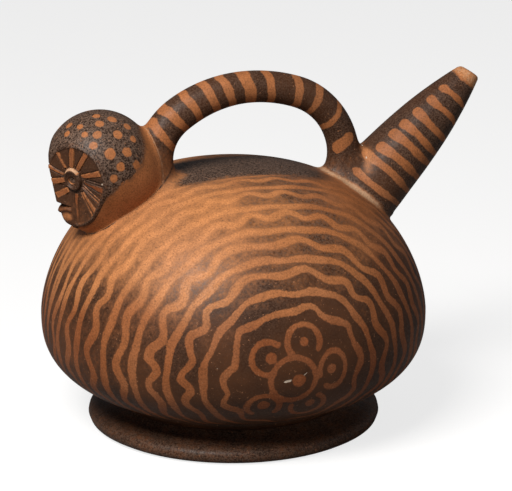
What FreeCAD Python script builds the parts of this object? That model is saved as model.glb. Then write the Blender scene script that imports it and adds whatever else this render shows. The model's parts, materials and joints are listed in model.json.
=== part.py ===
import FreeCAD, Part
import math
import os
import Sketcher
from FreeCAD import Placement, Rotation, Vector

# Spout-and-bridge bottle of fired clay. Millimetres, Z up, origin on the ground at the foot's axis.
# The bird's head stands towards -X, the spout towards +X, and the bird's left side is towards -Y.

SIZES = {
    # chamber: two bowls of one wall that meet at the girth
    "body_radius": 82.5,
    "bowl_lift": 7.9,
    "wall": 4.2,
    "crown_rise_share": 0.7575758,
    "crown_belly_arc_share": 0.5454545,
    "crown_belly_rise_share": 0.1818182,
    "crown_shoulder_arc_share": 0.8484848,
    "bowl_depth_share": 0.4957576,
    "bowl_belly_arc_share": 0.6363636,
    "bowl_belly_rise_share": 0.07878788,
    "bowl_shoulder_arc_share": 0.3636364,
    # foot ring and the coil under the bowl
    "foot_radius": 63.0,
    "foot_rim_height": 5.8,
    "foot_rim_bulge_depth": 2.0,
    "foot_rest_width": 4.0,
    "foot_waist_radius": 49.0,
    "foot_wall": 4.6,
    "foot_seat_share": 0.2439608,
    "foot_flare_bulge_depth": 2.2,
    "foot_coil_reach": 5.5,
    "foot_coil_low_share": 0.09964598,
    "foot_coil_bulge_depth": 1.0,
    # spout: lengths run along its axis from where that crosses the shoulder
    "spout_x_share": 0.7333333,
    "spout_rise_share": 0.7392,
    "spout_slope": 45.0,
    "spout_length": 70.0,
    "spout_root_radius_share": 0.1818182,
    "spout_straight": 4.0,
    "spout_tip_radius": 5.3,
    "spout_swell": 2.4,
    "spout_buried": 16.0,
    "spout_bore_radius": 9.6,
    "mouth_radius": 3.0,
    "throat_length": 12.0,
    "lip_bulge_depth": 0.65,
    "spout_coil_width_share": 0.03878788,
    "spout_coil_rise_share": 0.04848485,
    "spout_coil_fall_share": 0.08484848,
    "spout_coil_bulge_depth_share": 0.01212121,
    # bridge: a round bar bent to five tangent runs
    "bridge_radius_share": 0.08121212,
    "bridge_crown_x_share": 0.08484848,
    "bridge_crown_rise_share": 1.162424,
    "leg_inset": 0.7927069,
    "head_side_turn": 35.0,
    "head_leg_arc_share": 0.3030303,
    "spout_side_arc_share": 0.7939394,
    "spout_side_turn": 19.5,
    "spout_leg_arc_share": 0.3915152,
    "bridge_foot_rise_share": 0.6912,
    "collar_width_share": 0.03151515,
    "collar_bulge_depth_share": 0.01090909,
    "collar_fall_share": 0.1393939,
    # bird's head: a round skull drawn out into a smaller jowl, down and forward of it
    "skull_x_share": 0.7066667,
    "head_seat_rise_share": 0.7344,
    "skull_radius": 22.3,
    "jowl_radius_share": 0.7623318,
    "jowl_reach_share": 0.5067265,
    "jowl_slope": 33.0,
    "head_wall": 4.5,
    # facial discs, on two planes that meet in a ridge
    "ridge_inset_share": 0.02690583,
    "ridge_drop_share": 0.04484305,
    "face_sweep": 38.0,
    "face_lean": 11.0,
    "disc_thickness": 3.4,
    "disc_rim": 1.5,
    "disc_recess": 1.2,
    "disc_forward": 2.5,
    "eye_out": 10.5,
    "eye_drop": 4.1,
    "eye_hole_radius": 1.6,
    "eye_ring_radius": 4.6,
    "eye_ring_height": 1.7,
    "eye_ring_bulge_depth": 0.7,
    "eye_dish_radius": 2.9,
    "eye_dish_depth": 0.6,
    "ray_length": 24.0,
    "ray_root_width": 1.6,
    "ray_tip_width": 3.8,
    "ray_depth": 0.5,
    # bill
    "bill_proud": 0.6,
    "bill_half_width": 4.6,
    "bill_top_drop_share": 0.2914798,
    "bill_slope": 4.0,
    "bill_back_inset_share": 0.3587444,
    "gape_inset_share": 0.3991031,
    "gape_drop_share": 0.7623318,
    "gape_length": 12.0,
    "gape_rise": 2.8,
    "gape_fall": 2.2,
    "chin_inset_share": 0.3497758,
    "chin_drop_share": 1.130045,
    "chin_bulge_depth": 0.9,
    "lower_bill_front_inset_share": 0.1434978,
    "lower_bill_back_inset_share": 0.470852,
    # neck coil and the air way between head and chamber
    "neck_inset_share": 0.3946188,
    "neck_top_drop_share": 0.4035874,
    "neck_top_radius_share": 0.7847534,
    "neck_foot_rise_share": 0.6592,
    "neck_foot_radius_share": 0.4932735,
    "airway_inset_share": 0.3273543,
    "airway_radius": 7.0,
    # how far cutting tools run past what they cut
    "overrun": 60.0,
}

# sizes kept as a share of the size that they follow
ON_BODY = (
    "crown_rise", "crown_belly_arc", "crown_belly_rise", "crown_shoulder_arc", "bowl_depth",
    "bowl_belly_arc", "bowl_belly_rise", "bowl_shoulder_arc", "spout_x", "bridge_crown_x",
    "bridge_crown_rise", "head_leg_arc", "spout_side_arc", "spout_leg_arc", "skull_x",
    "bridge_radius", "collar_width", "collar_bulge_depth", "collar_fall", "spout_root_radius",
    "spout_coil_width", "spout_coil_rise", "spout_coil_fall", "spout_coil_bulge_depth",
)
ON_CROWN = (
    "spout_rise", "bridge_foot_rise", "head_seat_rise", "neck_foot_rise",
)
ON_SKULL = (
    "jowl_radius", "jowl_reach", "ridge_inset", "ridge_drop", "bill_top_drop", "bill_back_inset",
    "gape_inset", "gape_drop", "chin_inset", "chin_drop", "lower_bill_front_inset",
    "lower_bill_back_inset", "neck_inset", "neck_top_drop", "neck_top_radius", "neck_foot_radius",
    "airway_inset",
)
FOLLOWED = {
    **dict.fromkeys(ON_BODY, "body_radius"),
    **dict.fromkeys(ON_CROWN, "crown_rise"),
    **dict.fromkeys(ON_SKULL, "skull_radius"),
}

# turn of each ray about the eye, in degrees from straight out to the side
RAY_TURNS = (90.0, 52.0, 9.0, -19.0, -43.0, -87.0, -157.0, 180.0, 158.0, 125.0)
SIDES = {"left": 1, "right": -1}

doc = FreeCAD.newDocument("spout_and_bridge_bottle")
sheet = doc.addObject("Spreadsheet::Sheet", "sizes")
for row, (alias, value) in enumerate(SIZES.items(), start=1):
    sheet.set("A%d" % row, alias.replace("_", " "))
    sheet.set("B%d" % row, str(value))
    sheet.setAlias("B%d" % row, alias)
doc.recompute()


class Measure:
    """A size as it is now, with the sheet formula that keeps it."""

    def __init__(self, value, formula):
        self.value = value
        self.formula = formula

    def __add__(self, other):
        return Measure(self.value + other.value, "(%s + %s)" % (self.formula, other.formula))

    def __sub__(self, other):
        return Measure(self.value - other.value, "(%s - %s)" % (self.formula, other.formula))

    def __mul__(self, other):
        return Measure(self.value * other.value, "(%s * %s)" % (self.formula, other.formula))

    def __truediv__(self, other):
        return Measure(self.value / other.value, "(%s / %s)" % (self.formula, other.formula))

    def __neg__(self):
        return Measure(-self.value, "(-%s)" % self.formula)


def size(alias):
    """A named size, or the share that it is of the size it follows."""
    if alias in FOLLOWED:
        return size(FOLLOWED[alias]) * size(alias + "_share")
    return Measure(float(getattr(sheet, alias)), "sizes." + alias)


def number(value):
    return Measure(float(value), str(float(value)))


def sine(angle):
    return Measure(math.sin(math.radians(angle.value)), "sin(%s)" % angle.formula)


def cosine(angle):
    return Measure(math.cos(math.radians(angle.value)), "cos(%s)" % angle.formula)


NONE = number(0)
TWO = number(2)


def girth():
    """Height of the joint between the two bowls."""
    return size("bowl_depth") + size("bowl_lift")


def under_bowl(name):
    """Height under the bowl beside the foot's waist, where the bowl has curved up by a share."""
    waist = size("foot_waist_radius")
    return size("bowl_lift") + waist * waist / size("body_radius") * size(name + "_share")


def skull_height():
    """Height of the skull's middle, with the skull bedded in the shoulder."""
    return girth() + size("head_seat_rise") + size("skull_radius")


def neck_foot_height():
    return girth() + size("neck_foot_rise")


def ridge_reach():
    """How far forward the ridge between the discs stands."""
    return size("skull_x") + size("skull_radius") - size("ridge_inset")


def head_x(name):
    """Distance forward of a point that lies behind the ridge."""
    return ridge_reach() - size(name + "_inset")


def head_z(name):
    """Height of a point that lies below the skull's middle."""
    return skull_height() - size(name + "_drop")


def bind(thing, **measures):
    for name, measure in measures.items():
        thing.setExpression(name, measure.formula)
    return thing


def place(thing, x, y, z, rotation=Rotation()):
    """Stand a piece at a point that follows the sheet, turned by a fixed rotation."""
    thing.Placement = Placement(Vector(x.value, y.value, z.value), rotation)
    for axis, measure in (("x", x), ("y", y), ("z", z)):
        thing.setExpression(".Placement.Base." + axis, measure.formula)
    return thing


def new_sketch(body, name, role="XZ_Plane"):
    sketch = body.newObject("Sketcher::SketchObject", name)
    plane = next(item for item in body.Origin.OriginFeatures if item.Role == role)
    sketch.AttachmentSupport = [(plane, "")]
    sketch.MapMode = "FlatFace"
    return sketch


def hold(sketch, kind, measure, *places):
    """Add a driving dimension and tie it to the sheet."""
    index = sketch.addConstraint(Sketcher.Constraint(kind, *places, measure.value))
    sketch.setExpression("Constraints[%d]" % index, measure.formula)


def hold_point(sketch, side, end, x, y):
    """Hold a point at x, y; a zero puts it on the axis itself."""
    for measure, axis, kind in ((x, -2, "DistanceX"), (y, -1, "DistanceY")):
        if measure is NONE:
            sketch.addConstraint(Sketcher.Constraint("PointOnObject", side, end, axis))
        elif measure.value > 0:
            hold(sketch, kind, measure, -1, 1, side, end)
        else:
            hold(sketch, kind, -measure, side, end, -1, 1)


def add_arc(sketch, centre, start, end):
    """Arc that runs counter-clockwise from start to end."""
    first = math.atan2(start.y - centre.y, start.x - centre.x)
    last = math.atan2(end.y - centre.y, end.x - centre.x)
    if last < first:
        last += 2 * math.pi
    circle = Part.Circle(centre, Vector(0, 0, 1), (start - centre).Length)
    return sketch.addGeometry(Part.ArcOfCircle(circle, first, last), False)


def arc_radius(start, end, bulge):
    """Radius of the arc between two corners that stands off their chord by bulge."""
    across = end[0] - start[0]
    along = end[1] - start[1]
    half_chord_squared = (across * across + along * along) / (TWO * TWO)
    return (bulge * bulge + half_chord_squared) / (TWO * bulge)


def add_outline(sketch, corners):
    """Closed outline of corners (x, y, bulge of the side that leaves it). A bulge is a measure
    with a side: +1 stands out to the right of the way round, -1 to the left; None is straight."""
    sides = []
    for index, (x, y, bulge) in enumerate(corners):
        nxt = corners[(index + 1) % len(corners)]
        start = Vector(x.value, y.value, 0)
        end = Vector(nxt[0].value, nxt[1].value, 0)
        if bulge is None:
            sides.append((sketch.addGeometry(Part.LineSegment(start, end), False), 1, 2))
            continue
        depth, hand = bulge
        radius = arc_radius((x, y), nxt, depth)
        chord = end - start
        left = Vector(-chord.y, chord.x, 0).normalize()
        centre = (start + end) * 0.5 + left * hand * (radius.value - depth.value)
        if hand > 0:
            sides.append((add_arc(sketch, centre, start, end), 1, 2))
        else:
            sides.append((add_arc(sketch, centre, end, start), 2, 1))
        hold(sketch, "Radius", radius, sides[-1][0])
    for index, (side, first, last) in enumerate(sides):
        following, follow_first, _ = sides[(index + 1) % len(sides)]
        sketch.addConstraint(Sketcher.Constraint("Coincident", side, last, following, follow_first))
    for (side, first, last), (x, y, bulge) in zip(sides, corners):
        hold_point(sketch, side, first, x, y)


def revolve(body, sketch):
    turned = body.newObject("PartDesign::Revolution", body.Name + "_turned")
    turned.Profile = sketch
    turned.ReferenceAxis = (sketch, ["V_Axis"])
    turned.Angle = 360
    sketch.Visibility = False
    return body


def turned_piece(name, corners):
    body = doc.addObject("PartDesign::Body", name)
    sketch = new_sketch(body, name + "_profile")
    add_outline(sketch, corners)
    return revolve(body, sketch)


def side_piece(name, corners, half_width):
    """A plate of the outline seen from the side, spread evenly both ways from the middle plane."""
    body = doc.addObject("PartDesign::Body", name)
    sketch = new_sketch(body, name + "_profile")
    add_outline(sketch, corners)
    pad = body.newObject("PartDesign::Pad", name + "_pad")
    pad.Profile = sketch
    pad.SideType = "Symmetric"
    bind(pad, Length=half_width * TWO)
    return body


def primitive(kind, name, **measures):
    return bind(doc.addObject(kind, name), **measures)


def fuse(name, *shapes):
    joined = doc.addObject("Part::MultiFuse", name)
    joined.Shapes = list(shapes)
    return joined


def common(name, *shapes):
    shared = doc.addObject("Part::MultiCommon", name)
    shared.Shapes = list(shapes)
    return shared


def cut(name, base, *tools):
    tool = tools[0] if len(tools) == 1 else fuse(name + "_tools", *tools)
    left = doc.addObject("Part::Cut", name)
    left.Base = base
    left.Tool = tool
    return left


# Chamber


def add_bowl_side(sketch, radius, rise, belly_arc, belly_rise, shoulder_arc):
    """Three tangent arcs from the girth, where the wall stands upright, to the flat middle."""
    belly_turn = math.asin(belly_rise.value / belly_arc.value)
    belly_end = Vector(radius.value - belly_arc.value * (1 - math.cos(belly_turn)), belly_rise.value, 0)
    belly_centre = Vector(radius.value - belly_arc.value, 0, 0)
    reach = belly_end.x - shoulder_arc.value * math.cos(belly_turn)
    climb = rise.value - belly_rise.value - shoulder_arc.value * (1 - math.sin(belly_turn))
    shoulder_turn = math.pi / 2 - 2 * math.atan(climb / reach)
    middle_arc = reach / math.cos(shoulder_turn) + shoulder_arc.value
    shoulder_centre = Vector(reach, belly_rise.value - shoulder_arc.value * math.sin(belly_turn), 0)
    shoulder_way = Vector(math.cos(shoulder_turn), math.sin(shoulder_turn), 0)
    shoulder_end = shoulder_centre + shoulder_way * shoulder_arc.value
    middle_centre = Vector(0, rise.value - middle_arc, 0)
    belly = add_arc(sketch, belly_centre, Vector(radius.value, 0, 0), belly_end)
    shoulder = add_arc(sketch, shoulder_centre, belly_end, shoulder_end)
    middle = add_arc(sketch, middle_centre, shoulder_end, Vector(0, rise.value, 0))
    hold_point(sketch, belly, 1, radius, NONE)
    sketch.addConstraint(Sketcher.Constraint("PointOnObject", belly, 3, -1))
    hold(sketch, "Radius", belly_arc, belly)
    hold(sketch, "DistanceY", belly_rise, -1, 1, belly, 2)
    sketch.addConstraint(Sketcher.Constraint("Tangent", belly, 2, shoulder, 1))
    hold(sketch, "Radius", shoulder_arc, shoulder)
    sketch.addConstraint(Sketcher.Constraint("Tangent", shoulder, 2, middle, 1))
    sketch.addConstraint(Sketcher.Constraint("PointOnObject", middle, 3, -2))
    hold_point(sketch, middle, 2, NONE, rise)
    return belly, middle


def join_points(sketch, first, first_end, second, second_end):
    ends = []
    for side, end in ((first, first_end), (second, second_end)):
        ends.append(sketch.getPoint(side, end))
    line = sketch.addGeometry(Part.LineSegment(ends[0], ends[1]), False)
    sketch.addConstraint(Sketcher.Constraint("Coincident", line, 1, first, first_end))
    sketch.addConstraint(Sketcher.Constraint("Coincident", line, 2, second, second_end))
    return line


def bowl_sizes(part, inset):
    """Outline of one bowl, or of its hollow when inset is the wall."""
    radius = size("body_radius") - inset
    rise = size({"crown": "crown_rise", "bowl": "bowl_depth"}[part]) - inset
    outer_arc = size(part + "_belly_arc")
    belly_arc = outer_arc - inset
    belly_rise = size(part + "_belly_rise") * belly_arc / outer_arc
    shoulder_arc = size(part + "_shoulder_arc") - inset
    return radius, rise, belly_arc, belly_rise, shoulder_arc


def bowl_form(name, part):
    """The whole space inside one bowl's outer face."""
    body = doc.addObject("PartDesign::Body", name)
    sketch = new_sketch(body, name + "_profile")
    belly, middle = add_bowl_side(sketch, *bowl_sizes(part, NONE))
    axis = sketch.addGeometry(Part.LineSegment(sketch.getPoint(middle, 2), Vector(0, 0, 0)), False)
    floor = sketch.addGeometry(Part.LineSegment(Vector(0, 0, 0), sketch.getPoint(belly, 1)), False)
    sketch.addConstraint(Sketcher.Constraint("Coincident", axis, 1, middle, 2))
    sketch.addConstraint(Sketcher.Constraint("Coincident", axis, 2, -1, 1))
    sketch.addConstraint(Sketcher.Constraint("Coincident", floor, 1, -1, 1))
    sketch.addConstraint(Sketcher.Constraint("Coincident", floor, 2, belly, 1))
    return stand_bowl(revolve(body, sketch), part)


def bowl_shell(name, part):
    body = doc.addObject("PartDesign::Body", name)
    sketch = new_sketch(body, name + "_profile")
    outer_belly, outer_middle = add_bowl_side(sketch, *bowl_sizes(part, NONE))
    inner_belly, inner_middle = add_bowl_side(sketch, *bowl_sizes(part, size("wall")))
    join_points(sketch, outer_middle, 2, inner_middle, 2)
    join_points(sketch, outer_belly, 1, inner_belly, 1)
    return stand_bowl(revolve(body, sketch), part)


def stand_bowl(body, part):
    over = Rotation(Vector(1, 0, 0), 180) if part == "bowl" else Rotation()
    return place(body, NONE, NONE, girth(), over)


# Spout


def spout_place(thing):
    turn = Rotation(Vector(0, 1, 0), size("spout_slope").value)
    return place(thing, size("spout_x"), NONE, girth() + size("spout_rise"), turn)


def spout_form():
    """Spout without its bore, from below the shoulder's face to the lip."""
    lip_height = size("spout_tip_radius") - size("mouth_radius")
    corners = [
        (NONE, -size("spout_buried"), None),
        (size("spout_root_radius"), -size("spout_buried"), None),
        (size("spout_root_radius"), -size("spout_straight"), (size("spout_swell"), 1)),
        (size("spout_tip_radius"), size("spout_length") - lip_height, (size("lip_bulge_depth"), 1)),
        (size("mouth_radius"), size("spout_length"), None),
        (NONE, size("spout_length"), None),
    ]
    return spout_place(turned_piece("spout_form", corners))


def spout_bore():
    """Channel from the chamber, narrowing to the throat at the mouth."""
    throat_foot = size("spout_length") - size("throat_length")
    past_lip = size("spout_length") + size("overrun")
    corners = [
        (NONE, -size("spout_buried"), None),
        (size("spout_bore_radius"), -size("spout_buried"), None),
        (size("spout_bore_radius"), NONE, None),
        (size("mouth_radius"), throat_foot, None),
        (size("mouth_radius"), past_lip, None),
        (NONE, past_lip, None),
    ]
    return spout_place(turned_piece("spout_bore", corners))


def spout_coil():
    """Clay pressed round the spout's root."""
    outer = size("spout_root_radius") + size("spout_coil_width")
    corners = [
        (NONE, -size("spout_coil_fall"), None),
        (outer, -size("spout_coil_fall"), (size("spout_coil_bulge_depth"), -1)),
        (size("spout_root_radius"), size("spout_coil_rise"), None),
        (NONE, size("spout_coil_rise"), None),
    ]
    return spout_place(turned_piece("spout_coil", corners))


# Foot


def foot_form():
    rim_x = size("foot_radius") - size("foot_rim_bulge_depth")
    waist = size("foot_waist_radius")
    seat = under_bowl("foot_seat")
    corners = [
        (rim_x - size("foot_rest_width"), NONE, None),
        (rim_x, NONE, (size("foot_rim_bulge_depth"), 1)),
        (rim_x, size("foot_rim_height"), (size("foot_flare_bulge_depth"), -1)),
        (waist, seat, None),
        (waist - size("foot_wall"), seat, (size("foot_flare_bulge_depth"), 1)),
    ]
    return turned_piece("foot_form", corners)


def foot_coil():
    inner = size("foot_waist_radius")
    outer = inner + size("foot_coil_reach")
    low = under_bowl("foot_coil_low")
    corners = [
        (inner, low, None),
        (outer - size("foot_rim_bulge_depth"), low, (size("foot_coil_bulge_depth"), -1)),
        (outer, under_bowl("foot_seat"), None),
        (inner, under_bowl("foot_seat"), None),
    ]
    return turned_piece("foot_coil", corners)


# Bridge


def head_side_arc():
    """Radius of the run from the crown to the head's leg, which stands just inside the skull's back."""
    turn = size("head_side_turn")
    leg_reach = size("skull_x") - size("skull_radius") - size("leg_inset")
    span = size("bridge_crown_x") + leg_reach - size("head_leg_arc") * (number(1) - sine(turn))
    return span / sine(turn)


def bridge_points():
    """Ends of the bridge's runs along its middle line, from the head's leg to the spout's leg."""
    crown_x = size("bridge_crown_x")
    crown_z = girth() + size("bridge_crown_rise")
    foot_z = girth() + size("bridge_foot_rise")
    one = number(1)
    head_turn = size("head_side_turn")
    head_end_x = crown_x - head_side_arc() * sine(head_turn)
    head_end_z = crown_z - head_side_arc() * (one - cosine(head_turn))
    head_leg_x = head_end_x - size("head_leg_arc") * (one - sine(head_turn))
    head_leg_z = head_end_z - size("head_leg_arc") * cosine(head_turn)
    spout_turn = size("spout_side_turn")
    spout_end_x = crown_x + size("spout_side_arc") * sine(spout_turn)
    spout_end_z = crown_z - size("spout_side_arc") * (one - cosine(spout_turn))
    spout_leg_x = spout_end_x + size("spout_leg_arc") * (one - sine(spout_turn))
    spout_leg_z = spout_end_z - size("spout_leg_arc") * cosine(spout_turn)
    return {
        "head_foot": (head_leg_x, foot_z),
        "head_leg": (head_leg_x, head_leg_z),
        "head_side": (head_end_x, head_end_z),
        "crown": (crown_x, crown_z),
        "spout_side": (spout_end_x, spout_end_z),
        "spout_leg": (spout_leg_x, spout_leg_z),
        "spout_foot": (spout_leg_x, foot_z),
    }


def bridge_bar():
    """Round bar carried along two upright legs and the four arcs between them."""
    points = bridge_points()
    body = doc.addObject("PartDesign::Body", "bridge_bar")
    path = new_sketch(body, "bridge_path")
    spots = {name: Vector(x.value, z.value, 0) for name, (x, z) in points.items()}
    crown = spots["crown"]
    centres = {
        "head_leg": spots["head_leg"] + Vector(size("head_leg_arc").value, 0, 0),
        "head_side": crown - Vector(0, head_side_arc().value, 0),
        "crown": crown - Vector(0, size("spout_side_arc").value, 0),
        "spout_side": spots["spout_leg"] - Vector(size("spout_leg_arc").value, 0, 0),
    }
    runs = [
        (path.addGeometry(Part.LineSegment(spots["head_foot"], spots["head_leg"]), False), 1, 2),
        (add_arc(path, centres["head_leg"], spots["head_side"], spots["head_leg"]), 2, 1),
        (add_arc(path, centres["head_side"], crown, spots["head_side"]), 2, 1),
        (add_arc(path, centres["crown"], spots["spout_side"], crown), 2, 1),
        (add_arc(path, centres["spout_side"], spots["spout_leg"], spots["spout_side"]), 2, 1),
        (path.addGeometry(Part.LineSegment(spots["spout_leg"], spots["spout_foot"]), False), 1, 2),
    ]
    radii = (size("head_leg_arc"), head_side_arc(), size("spout_side_arc"), size("spout_leg_arc"))
    for (run, first, last), (following, follow_first, follow_last) in zip(runs, runs[1:]):
        path.addConstraint(Sketcher.Constraint("Coincident", run, last, following, follow_first))
    for (run, first, last), radius in zip(runs[1:5], radii):
        hold(path, "Radius", radius, run)
    for (run, first, last), name in zip(runs, points):
        hold_point(path, run, first, *points[name])
    hold_point(path, runs[-1][0], 2, *points["spout_foot"])
    section = new_sketch(body, "bridge_section", "XY_Plane")
    foot_x, foot_z = points["head_foot"]
    section.AttachmentOffset = Placement(Vector(foot_x.value, 0, foot_z.value), Rotation())
    section.setExpression(".AttachmentOffset.Base.x", foot_x.formula)
    section.setExpression(".AttachmentOffset.Base.z", foot_z.formula)
    circle = Part.Circle(Vector(0, 0, 0), Vector(0, 0, 1), size("bridge_radius").value)
    ring = section.addGeometry(circle, False)
    section.addConstraint(Sketcher.Constraint("Coincident", ring, 3, -1, 1))
    hold(section, "Radius", size("bridge_radius"), ring)
    pipe = body.newObject("PartDesign::AdditivePipe", "bridge_pipe")
    pipe.Profile = section
    pipe.Spine = (path, [])
    return body


def collar(name, leg):
    """Clay drawn up round one leg of the bridge to where the bar begins to bend."""
    leg_x, leg_z = leg
    reach = size("bridge_radius") + size("collar_width")
    fall = size("collar_fall")
    corners = [
        (NONE, NONE, None),
        (reach, NONE, (size("collar_bulge_depth"), -1)),
        (size("bridge_radius"), fall, None),
        (NONE, fall, None),
    ]
    return place(turned_piece(name, corners), leg_x, NONE, leg_z - fall)


# Bird's head


def head_form(name, inset, forward=NONE):
    """Skull and jowl in one turned form, drawn in by inset all round and moved forward."""
    body = doc.addObject("PartDesign::Body", name)
    sketch = new_sketch(body, name + "_profile")
    skull_radius = size("skull_radius") - inset
    jowl_radius = size("jowl_radius") - inset
    reach = size("jowl_reach")
    touch = math.asin((skull_radius.value - jowl_radius.value) / reach.value)
    outward = Vector(math.cos(touch), math.sin(touch), 0)
    middle = Vector(0, 0, 0)
    jowl_middle = Vector(0, reach.value, 0)
    top = Vector(0, -skull_radius.value, 0)
    bottom = jowl_middle + Vector(0, jowl_radius.value, 0)
    cheek_start = outward * skull_radius.value
    cheek_end = jowl_middle + outward * jowl_radius.value
    skull = add_arc(sketch, middle, top, cheek_start)
    cheek = sketch.addGeometry(Part.LineSegment(cheek_start, cheek_end), False)
    jowl = add_arc(sketch, jowl_middle, cheek_end, bottom)
    sketch.addConstraint(Sketcher.Constraint("Coincident", skull, 3, -1, 1))
    hold(sketch, "Radius", skull_radius, skull)
    sketch.addConstraint(Sketcher.Constraint("PointOnObject", skull, 1, -2))
    sketch.addConstraint(Sketcher.Constraint("Tangent", skull, 2, cheek, 1))
    sketch.addConstraint(Sketcher.Constraint("Tangent", cheek, 2, jowl, 1))
    hold(sketch, "Radius", jowl_radius, jowl)
    hold_point(sketch, jowl, 3, NONE, reach)
    sketch.addConstraint(Sketcher.Constraint("PointOnObject", jowl, 2, -2))
    join_points(sketch, jowl, 2, skull, 1)
    half_turn = 180
    turn = Rotation(Vector(0, 1, 0), half_turn + size("jowl_slope").value)
    return place(revolve(body, sketch), -size("skull_x") - forward, NONE, skull_height(), turn)


def face_turn(side):
    lean = Rotation(Vector(0, 1, 0), -size("face_lean").value)
    sweep = Rotation(Vector(0, 0, 1), SIDES[side] * size("face_sweep").value)
    return lean * sweep


def ridge_point():
    return Vector(-ridge_reach().value, 0, head_z("ridge").value)


def beyond_face(name, side, proud):
    """All that lies in front of one face plane, which stands proud of the disc's own plane."""
    reach = size("overrun")
    block = primitive("Part::Box", name, Length=reach, Width=reach * TWO, Height=reach * TWO)
    corner = Vector(-reach.value - proud.value, -reach.value, -reach.value)
    turn = face_turn(side)
    block.Placement = Placement(ridge_point() + turn.multVec(corner), turn)
    return block


def both_faces(name, proud):
    return fuse(name, *[beyond_face("%s_%s" % (name, side), side, proud) for side in SIDES])


def face_place(side, out, up, spin=0.0):
    """Placement on a disc's face: its Z stands out of the face, its X runs level, its Y up."""
    turn = face_turn(side)
    upright = Rotation(Vector(0, -1, 0), Vector(0, 0, 1), Vector(-1, 0, 0), "ZXY")
    spot = ridge_point() + turn.multVec(Vector(0, -SIDES[side] * out.value, up.value))
    return Placement(spot, turn * upright * Rotation(Vector(0, 0, 1), spin))


def eye_place(side, spin=0.0):
    return face_place(side, size("eye_out"), -size("eye_drop"), spin)


def eye_hole(side):
    reach = size("disc_thickness") * TWO
    hole = primitive("Part::Cylinder", "eye_hole_" + side, Radius=size("eye_hole_radius"),
                     Height=reach * TWO)
    middle = eye_place(side)
    hole.Placement = middle * Placement(Vector(0, 0, -reach.value), Rotation())
    return hole


def eye_ring(side):
    """Applied ring with a rounded edge and a dished face round the pierced eye."""
    corners = [
        (size("eye_hole_radius"), NONE, None),
        (size("eye_ring_radius"), NONE, (size("eye_ring_bulge_depth"), 1)),
        (size("eye_dish_radius"), size("eye_ring_height"), None),
        (size("eye_hole_radius"), size("eye_ring_height") - size("eye_dish_depth"), None),
    ]
    ring = turned_piece("eye_ring_" + side, corners)
    ring.Placement = eye_place(side)
    return ring


def rays(side):
    """Shallow bars that spread from the eye ring to the disc's edge."""
    bars = []
    half_root = size("ray_root_width") / TWO
    half_tip = size("ray_tip_width") / TWO
    depth = size("ray_depth")
    for index, turn in enumerate(RAY_TURNS):
        bar = primitive("Part::Wedge", "ray_%s_%d" % (side, index), Xmin=-half_root, Xmax=half_root,
                        X2min=-half_tip, X2max=half_tip, Ymin=size("eye_ring_radius") + depth,
                        Ymax=size("ray_length"), Zmin=-depth, Zmax=depth, Z2min=-depth, Z2max=depth)
        outward = turn if side == "left" else 180 - turn
        bar.Placement = eye_place(side, outward - 90)
        bars.append(bar)
    return fuse("rays_" + side, *bars)


def half_space(side):
    """All of the bird's own left or right."""
    reach = size("overrun")
    block = primitive("Part::Box", "half_" + side, Length=reach * TWO, Width=reach, Height=reach * TWO)
    start = -reach if SIDES[side] > 0 else NONE
    return place(block, -ridge_reach() - reach, start, head_z("ridge") - reach)


def gape():
    """The open bill, a notch cut back to the corner of the mouth."""
    front = -head_x("gape") - size("gape_length")
    corners = [
        (-head_x("gape"), head_z("gape"), None),
        (front, head_z("gape") + size("gape_rise"), None),
        (front, head_z("gape") - size("gape_fall"), None),
    ]
    return side_piece("gape", corners, size("overrun"))


def upper_bill():
    front = -head_x("gape") - size("gape_length")
    back = -head_x("bill_back")
    corners = [
        (back, head_z("gape"), None),
        (back, head_z("bill_top"), None),
        (front, head_z("bill_top") - size("bill_slope"), None),
        (front, head_z("gape"), None),
    ]
    return side_piece("upper_bill", corners, size("bill_half_width"))


def lower_bill():
    back = -head_x("lower_bill_back")
    corners = [
        (back, head_z("gape"), None),
        (-head_x("lower_bill_front"), head_z("gape"), (size("chin_bulge_depth"), 1)),
        (-head_x("chin"), head_z("chin"), None),
        (back, head_z("chin"), None),
    ]
    return side_piece("lower_bill", corners, size("bill_half_width"))


def lower_bill_seat():
    """Room for the lower bill, open to the front."""
    reach = size("overrun")
    room = primitive("Part::Box", "lower_bill_seat", Length=reach, Width=size("bill_half_width") * TWO,
                     Height=head_z("gape") - head_z("chin"))
    return place(room, -head_x("lower_bill_back") - reach, -size("bill_half_width"), head_z("chin"))


def neck_coil():
    """Cone of clay that the head is bedded in."""
    cone = primitive("Part::Cone", "neck_cone", Radius1=size("neck_foot_radius"),
                     Radius2=size("neck_top_radius"), Height=head_z("neck_top") - neck_foot_height())
    return place(cone, size("neck_inset") - size("skull_x"), NONE, neck_foot_height())


def airway():
    """Hole through the head's floor and the shoulder under it."""
    drop = size("airway_radius") * TWO
    hole = primitive("Part::Cylinder", "airway", Radius=size("airway_radius"), Height=drop * TWO)
    skull_foot = skull_height() - size("skull_radius")
    return place(hole, size("airway_inset") - size("skull_x"), NONE, skull_foot - drop / TWO)


# Assembly: each piece gives way to what it is pressed onto, so neighbours meet face to face

chamber = fuse("chamber", bowl_form("crown_form", "crown"), bowl_form("bowl_form", "bowl"))
bore = spout_bore()
air = airway()
spout_solid = spout_form()
bar = bridge_bar()
bill_notch = gape()
bill_over = upper_bill()
bill_under = lower_bill()
bill_seat = lower_bill_seat()
bill_front = both_faces("bill_front", size("bill_proud"))
rim_front = both_faces("rim_front", size("disc_recess"))
disc_front = both_faces("disc_front", NONE)
disc_back = both_faces("disc_back", -size("disc_thickness"))
head_mass = cut("head_mass", head_form("head_solid", NONE), rim_front)
socket = common("socket", head_form("socket_form", size("disc_rim"), size("disc_forward")), disc_back)
legs = bridge_points()

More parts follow.
